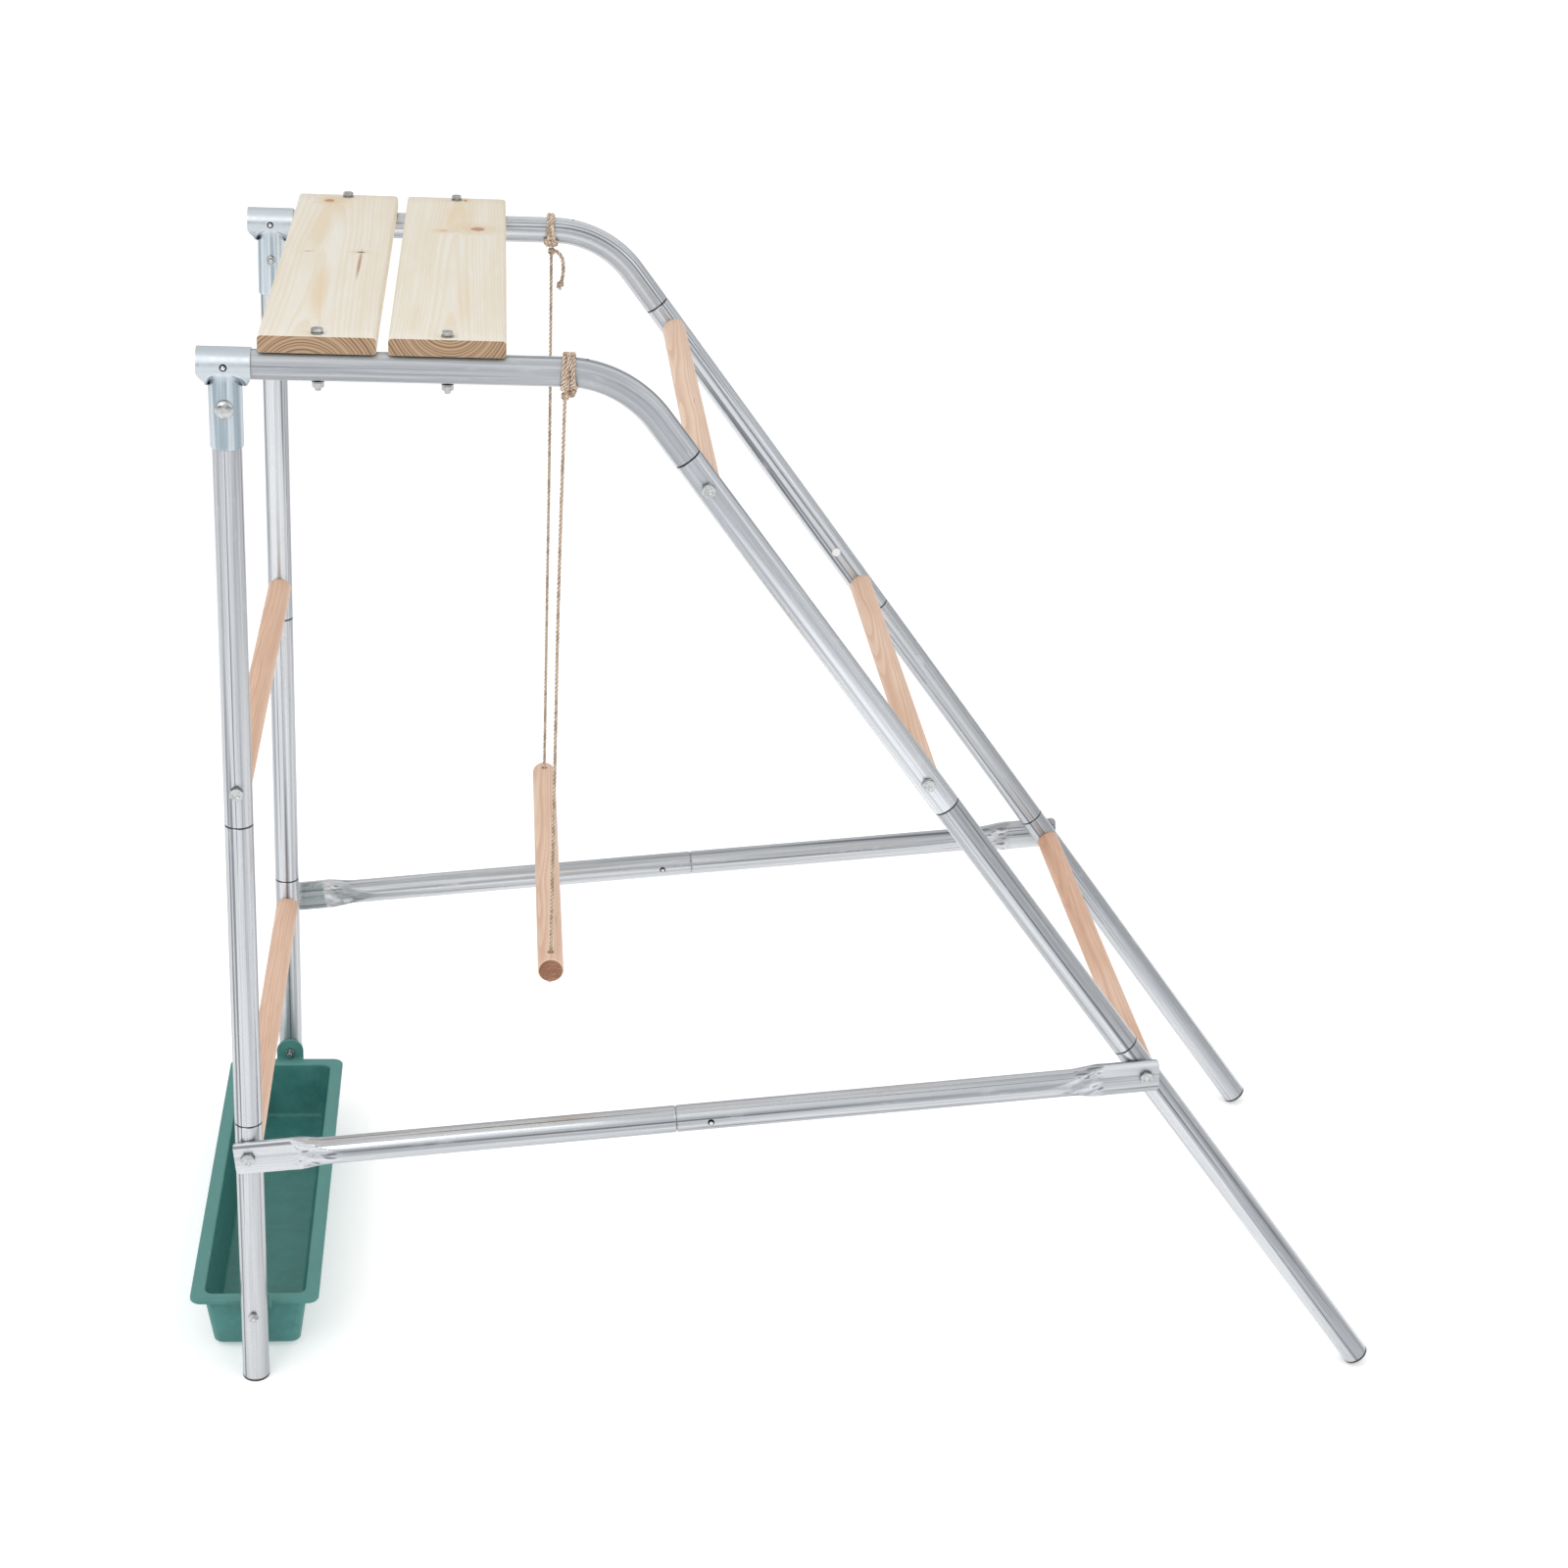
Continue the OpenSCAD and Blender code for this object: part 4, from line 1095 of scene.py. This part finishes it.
def makeBracket(side):
    columns = [-1 + 2 * k / 56 for k in range(57)]
    fine = bracket["fineFrom"]
    heights = [bracket["low"] + (fine - bracket["low"]) * k / 14 for k in range(14)]
    heights += [fine - fine * k / 40 for k in range(40)]
    cheek = [[(*bracketCheek(t, z), z) for t in columns] for z in heights]
    hood = []
    for k in range(25):
        a = math.pi * k / 24
        hood.append([(bracket["left"] + (bracket["right"] - bracket["left"]) * (t + 1) / 2,
                      -bracket["outR"] * math.cos(a), bracket["outR"] * math.sin(a)) for t in columns])
    rows = cheek + hood + [[(x, -y, z) for x, y, z in row] for row in reversed(cheek)]
    placed = [[onSide(side, x, y, topZ + z) for x, y, z in row] for row in rows]
    shape = newShape()
    addTo(shape, *loft(placed, closed=False, capStart=False, capEnd=False))
    axis = onSide(side, 0, 0, topZ)

    def finish(piece):
        first = piece.data.polygons[0]
        outwards = first.center - Vector((postX, axis.y, first.center.z))
        thick = piece.modifiers.new("sheet", "SOLIDIFY")
        thick.thickness = bracket["sheet"]
        thick.offset = -1 if first.normal.dot(outwards) > 0 else 1
        thick.use_even_offset = True
        edge = piece.modifiers.new("edge", "BEVEL")
        edge.width = bracket["edge"]
        edge.segments = 2
        edge.limit_method = "ANGLE"
        edge.angle_limit = math.radians(60)
        applyModifiers(piece)
        bore(piece, axis, alongY(-1), bracket["hole"], tubeR * 2)
        start = axis + Vector((0, -2 * tubeR, bracket["boltZ"]))
        bore(piece, start, alongY(1), bracket["boltHole"], 4 * tubeR)

    name = sideNames[side]
    makePiece("teeBracket" + name.capitalize(), shape, sheetZinc, "tee_bracket_" + name,
              sharp=30, finish=finish)


makeBracket(near)
makeBracket(far)
print("brackets made")


around = 48     # points round every bolt, nut and washer


def hexRing(base, axis, u, v, across, height, corner):
    # one ring of a hexagon, whose corners are turned down from the radius called corner
    ring = []
    for k in range(around):
        a = 2 * math.pi * k / around
        reach = across / 2 / math.cos(((a + math.pi / 6) % (math.pi / 3)) - math.pi / 6)
        lift = height - 0.55 * (reach - corner) if corner is not None else height
        ring.append(base + axis * lift + (u * math.cos(a) + v * math.sin(a)) * reach)
    return ring


def boltRings(base, axis, u, v, rows):
    # a row is a circle's height and radius, or a hexagon's height, width and turned-down corner
    rings = []
    for height, size, *corner in rows:
        if corner:
            rings.append(hexRing(base, axis, u, v, size, height, corner[0]))
        else:
            rings.append(ringRound(base + axis * height, u, v, size, around))
    return rings


def addHexBolt(shape, base, axis, across, head, shank, reach, turn=0.0):
    # the head stands on base and points along axis, the shank goes the other way
    u, v = sides(axis)
    u, v = u * math.cos(turn) + v * math.sin(turn), v * math.cos(turn) - u * math.sin(turn)
    inner = across / 2 * 0.97
    addTo(shape, *loft(boltRings(base, axis, u, v, (
        (-reach, shank * 0.43), (shank * 0.1 - reach, shank / 2), (0, shank / 2), (0, across * 0.465),
        (0.45 * mm, across * 0.985, None), (0.9 * mm, across, None), (head, across, inner),
        (head, inner * 0.985), (head + 0.05 * mm, inner * 0.9), (head - 0.1 * mm, inner * 0.66),
        (head - 0.7 * mm, inner * 0.56), (head - 0.8 * mm, inner * 0.2)))))


def addHexNut(shape, base, axis, across, tall, bolt):
    # base is the face that bears on the work
    u, v = sides(axis)
    inner = across / 2 * 0.96
    hole = bolt / 2 + 0.05 * mm
    addLoop(shape, boltRings(base, axis, u, v, (
        (0, hole + 0.4 * mm), (0, across / 2 * 0.95), (0.6 * mm, across, None), (tall, across, inner),
        (tall, inner * 0.98), (tall, hole + 0.5 * mm), (tall - 0.5 * mm, hole), (0.4 * mm, hole))))


def addLoop(shape, rings):
    # rings that go out, over and back in, closed from the last to the first
    points, faces = loft(rings, capStart=False, capEnd=False)
    last = (len(rings) - 1) * around
    faces += [(last + k, last + (k + 1) % around, (k + 1) % around, k) for k in range(around)]
    addTo(shape, points, faces)


bolts = {
    "rung": (17 * mm, 6.4 * mm, 10 * mm), "small": (13 * mm, 5.3 * mm, 8 * mm),
    "nut": 6.8 * mm, "thinNut": 5.1 * mm, "screwEnd": 74 * mm, "play": 0.1 * mm,
    "mushroomR": 12 * mm, "mushroomRim": 1.1 * mm, "mushroomRise": 4.9 * mm,
    "washer": ((4.3, 0), (7.7, 0), (8.0, 0.3), (8.0, 1.3), (7.7, 1.6), (4.5, 1.6), (4.3, 1.4)),
    "washerThick": 1.6 * mm,
}
smallAcross, smallHead, smallShank = bolts["small"]


def makeFastener(name, shape, node):
    return makePiece(name, shape, boltZinc, node)


def makeRungBolts():
    # two in each rung; those that also hold a brace stand out by the plate
    shape = newShape()
    # the trapeze bar comes last and has no bolts
    for count, rung in enumerate(list(rungFairness)[:-1]):
        spot = middle(rung)
        out = tubeR + 0.15 * mm
        if rung in ("ladder_rung_bottom", "post_rung_lower"):
            out += brace["plateThick"] + 0.1 * mm
        for side in (near, far):
            base = Vector((spot.x, side * (halfWidth + out), spot.z))
            addHexBolt(shape, base, alongY(side), *bolts["rung"], out + bolts["screwEnd"],
                       turn=0.4 + 0.7 * count + 0.5 * side)
    makeFastener("rungBolts", shape, "rung_bolts")


def mergeDoubles(piece):
    work = bmesh.new()
    work.from_mesh(piece.data)
    bmesh.ops.remove_doubles(work, verts=work.verts, dist=1e-6)
    work.to_mesh(piece.data)
    work.free()


def makeDeckBolts():
    heads = newShape()
    washers = newShape()
    nuts = newShape()
    lowZ, highZ = [corner.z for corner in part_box("deck_bolts")]
    lowWasher, topWasher = [corner.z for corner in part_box("deck_washers")]
    headZ = highZ - smallHead
    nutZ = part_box("deck_nuts")[1].z
    up = Vector((0, 0, 1))
    for count, node in enumerate(("deck_board_rear", "deck_board_front")):
        for side in (near, far):
            spot = Vector((middle(node).x, side * halfWidth, 0))
            addHexBolt(heads, spot + up * headZ, up, *bolts["small"], headZ - lowZ,
                       turn=0.5 * count + 0.9 * side)
            for z in (topWasher - bolts["washerThick"], lowWasher):
                rings = [ringRound(spot + up * (z + h * mm), Vector((1, 0, 0)), alongY(1), r * mm, around)
                         for r, h in bolts["washer"]]
                addTo(washers, *loft(rings + rings[:1], capStart=False, capEnd=False))
            addHexNut(nuts, spot + up * nutZ, -up, smallAcross, bolts["nut"], smallShank)
    for name, shape, node in (("deckBolts", heads, "deck_bolts"), ("deckWashers", washers, "deck_washers"),
                              ("deckNuts", nuts, "deck_nuts")):
        mergeDoubles(makeFastener(name, shape, node))


def makePlanterBolts():
    heads = newShape()
    nuts = newShape()
    spotZ = middle("planter_bolts").z
    for side in (near, far):
        base = Vector((postX, side * (halfWidth + tubeR + 0.05 * mm), spotZ))
        addHexBolt(heads, base, alongY(side), *bolts["small"], 2 * tubeR + 20 * mm, turn=0.3)
        face = Vector((postX, side * (halfWidth - tubeR - 5.35 * mm), spotZ))
        addHexNut(nuts, face, alongY(-side), smallAcross, bolts["nut"], smallShank)
    makeFastener("planterBolts", heads, "planter_bolts")
    makeFastener("planterNuts", nuts, "planter_nuts")


def makeBracketBolts():
    # mushroom heads on the outer cheeks, nuts on the inner ones
    heads = newShape()
    nuts = newShape()
    headR = bolts["mushroomR"]
    rim = bolts["mushroomRim"]
    seat = bracket["outR"] + bolts["play"]
    spotZ = middle("bracket_bolts").z
    profile = [(3.6 * mm, -2 * seat - 7 * mm), (4 * mm, -2 * seat - 6.2 * mm), (4 * mm, 0),
               (headR * 0.96, 0), (headR, 0.4 * mm), (headR, rim)]
    profile += [(headR * math.cos(a), rim + bolts["mushroomRise"] * math.sin(a))
                for a in (math.radians(d) for d in (12, 25, 40, 55, 70, 82, 87))]
    for side in (near, far):
        turned(heads, Vector((postX, side * (halfWidth + seat), spotZ)), alongY(side), profile)
        face = Vector((postX, side * (halfWidth - seat), spotZ))
        addHexNut(nuts, face, alongY(-side), smallAcross, bolts["thinNut"], smallShank)
    makeFastener("bracketBolts", heads, "bracket_bolts")
    makeFastener("bracketNuts", nuts, "bracket_nuts")


button = {"radius": 4 * mm, "dome": 2.48 * mm, "leaf": (30 * mm, 1.2 * mm, 10 * mm), "leafCorner": 3 * mm}


def makeButton(part, side):
    # a domed pin that points to -Y, on the leaf of its spring inside the tube
    node = f"{part}_button_{side}"
    low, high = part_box(node)
    spot = middle(node)
    long, thick, wide = button["leaf"]
    profile = [(button["radius"], low.y - high.y + thick * 0.5)]
    profile += [(button["radius"] * math.cos(a), -button["dome"] * (1 - math.sin(a)))
                for a in (math.radians(d) for d in (0, 8, 22, 38, 54, 70, 87))]
    shape = newShape()
    turned(shape, Vector((spot.x, low.y, spot.z)), alongY(-1), profile, 40)
    tilt = braceTilt if part == "brace" else 0.0
    rings = []
    for y in (high.y - thick, high.y):
        rings.append([Vector((spot.x + x * math.cos(tilt) - z * math.sin(tilt), y,
                              spot.z + x * math.sin(tilt) + z * math.cos(tilt)))
                      for x, z in rounded(long / 2, wide / 2, button["leafCorner"], 6)])
    addTo(shape, *loft(rings))
    makePiece(f"{part}Button{side.capitalize()}", shape, buttonZinc, node,
              f"{side}_{part}_button", sharp=40)


makeRungBolts()
makeDeckBolts()
makePlanterBolts()
makeBracketBolts()
for part in ("brace", "bracket"):
    for side in bothSides:
        makeButton(part, side)
print("bolts and buttons made")

board = {"round": 5.2 * mm, "ends": ((0, 1.1), (0.35, 0.35), (1.1, 0)), "boltHole": 4.3 * mm}


def makeBoard(name, sizes):
    # ends are pairs of how far along and how far in, in millimetres
    low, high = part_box(sizes["node"])
    midX = (low.x + high.x) / 2
    midZ = (low.z + high.z) / 2

    def section(y, inset):
        outline = rounded((high.x - low.x) / 2 - inset, (high.z - low.z) / 2 - inset, board["round"], 6)
        return [Vector((midX + x, y, midZ + z)) for x, z in outline]

    rings = [section(low.y + d * mm, inset * mm) for d, inset in board["ends"]]
    rings += [section(low.y + (high.y - low.y) * k / 20, 0) for k in range(1, 20)]
    rings += [section(high.y - d * mm, inset * mm) for d, inset in reversed(board["ends"])]
    shape = newShape()
    addTo(shape, *loft(rings))

    def drill(piece):
        for side in (near, far):
            start = Vector((midX, side * halfWidth, low.z - 0.01))
            bore(piece, start, Vector((0, 0, 1)), board["boltHole"], 0.05)

    makePiece("deckBoard" + name.capitalize(), shape, makePine(name, sizes), sizes["node"],
              sharp=40, finish=drill)


for boardName, boardSizes in boards.items():
    makeBoard(boardName, boardSizes)
print("boards made")

# rows are how far in and how high, in millimetres, each list with its corner radius
planter = {
    "x": -4 * mm, "taper": 13 * mm, "wall": 3 * mm, "rim": 20 * mm, "tall": 95 * mm, "halfY": 352 * mm,
    "earR": 22 * mm, "earThick": 5 * mm, "earRise": 8.5 * mm, "earLow": 6.5 * mm, "boltHole": 4.3 * mm,
    "outside": (14, ((7, 0), (3.2, 0), (1.5, 0.4), (0.5, 1.4), (0, 3), (0, 50), (0, 84))),
    "underRim": (16, ((0, 84.5), (-1.1, 85.2), (-1.2, 87.6), (-3.4, 88.4))),
    "flange": (16, ((1.6, 88.4), (0.5, 88.8), (0, 89.8), (0, 93.2), (0.5, 94.4), (1.7, 95))),
    "inside": (13, ((0.6, 95), (2.0, 94.7), (3.0, 93.8), (3.4, 92), (3.2, 50), (3.1, 9), (3.6, 6),
                    (5.0, 3.8), (8.0, 3), (24, 3))),
}


def makePlanter():
    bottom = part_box("planter")[0].z
    rimZ = bottom + planter["tall"]
    halfX = sizeOf("planter").x / 2
    lip = planter["rim"] - planter["wall"]
    rings = []
    for part in ("outside", "underRim", "flange", "inside"):
        corner, rows = planter[part]
        for inset, height in rows:
            # the walls lean in towards the bottom, the flange stands round them
            back = 0 if part == "flange" else lip + planter["taper"] * (1 - height * mm / planter["tall"])
            outline = rounded(halfX - back - inset * mm, planter["halfY"] - back - inset * mm, corner * mm, 8)
            rings.append([Vector((postX + planter["x"] + x, y, bottom + height * mm)) for x, y in outline])
    shape = newShape()
    addTo(shape, *loft(rings))
    earTop = rimZ + planter["earRise"]
    postFace = halfWidth - tubeR - 0.3 * mm

    def joinEar(piece, side):
        reach = planter["earR"]
        inner = postFace - planter["earThick"]
        outline = [(-reach, rimZ - planter["earLow"])]
        outline += [(-reach * math.cos(a), earTop + reach * math.sin(a))
                    for a in (math.pi * k / 24 for k in range(25))]
        outline += [(reach, rimZ - planter["earLow"])]
        rings = []
        for out, inset in ((postFace, 0.6), (postFace - 0.6 * mm, 0), (inner + 0.6 * mm, 0), (inner, 0.6)):
            scale = 1 - inset * mm / reach
            rings.append([Vector((postX + x * scale, side * out, earTop + (z - earTop) * scale))
                          for x, z in outline])
        tool = newShape()
        addTo(tool, *loft(rings))
        combine(piece, tool, "UNION")

    def joinShelf(piece, side):
        # the flat shelf between the trough's rim and its ear
        reach = planter["earR"] - 0.3 * mm
        low = rimZ - 6.2 * mm
        high = rimZ - 0.25 * mm
        rings = [[Vector((postX + x, side * out, z))
                  for x, z in ((-reach, low), (reach, low), (reach, high), (-reach, high))]
                 for out in (planter["halfY"] - 10 * mm, postFace - 1 * mm)]
        tool = newShape()
        addTo(tool, *loft(rings))
        combine(piece, tool, "UNION")

    def finish(piece):
        for side in (near, far):
            joinEar(piece, side)
            joinShelf(piece, side)
            start = Vector((postX, side * (postFace - 0.02), middle("planter_bolts").z))
            bore(piece, start, alongY(side), planter["boltHole"], 0.03)

    makePiece("planterTrough", shape, greenPlastic, "planter", sharp=38, finish=finish)


makePlanter()
print("planter made")
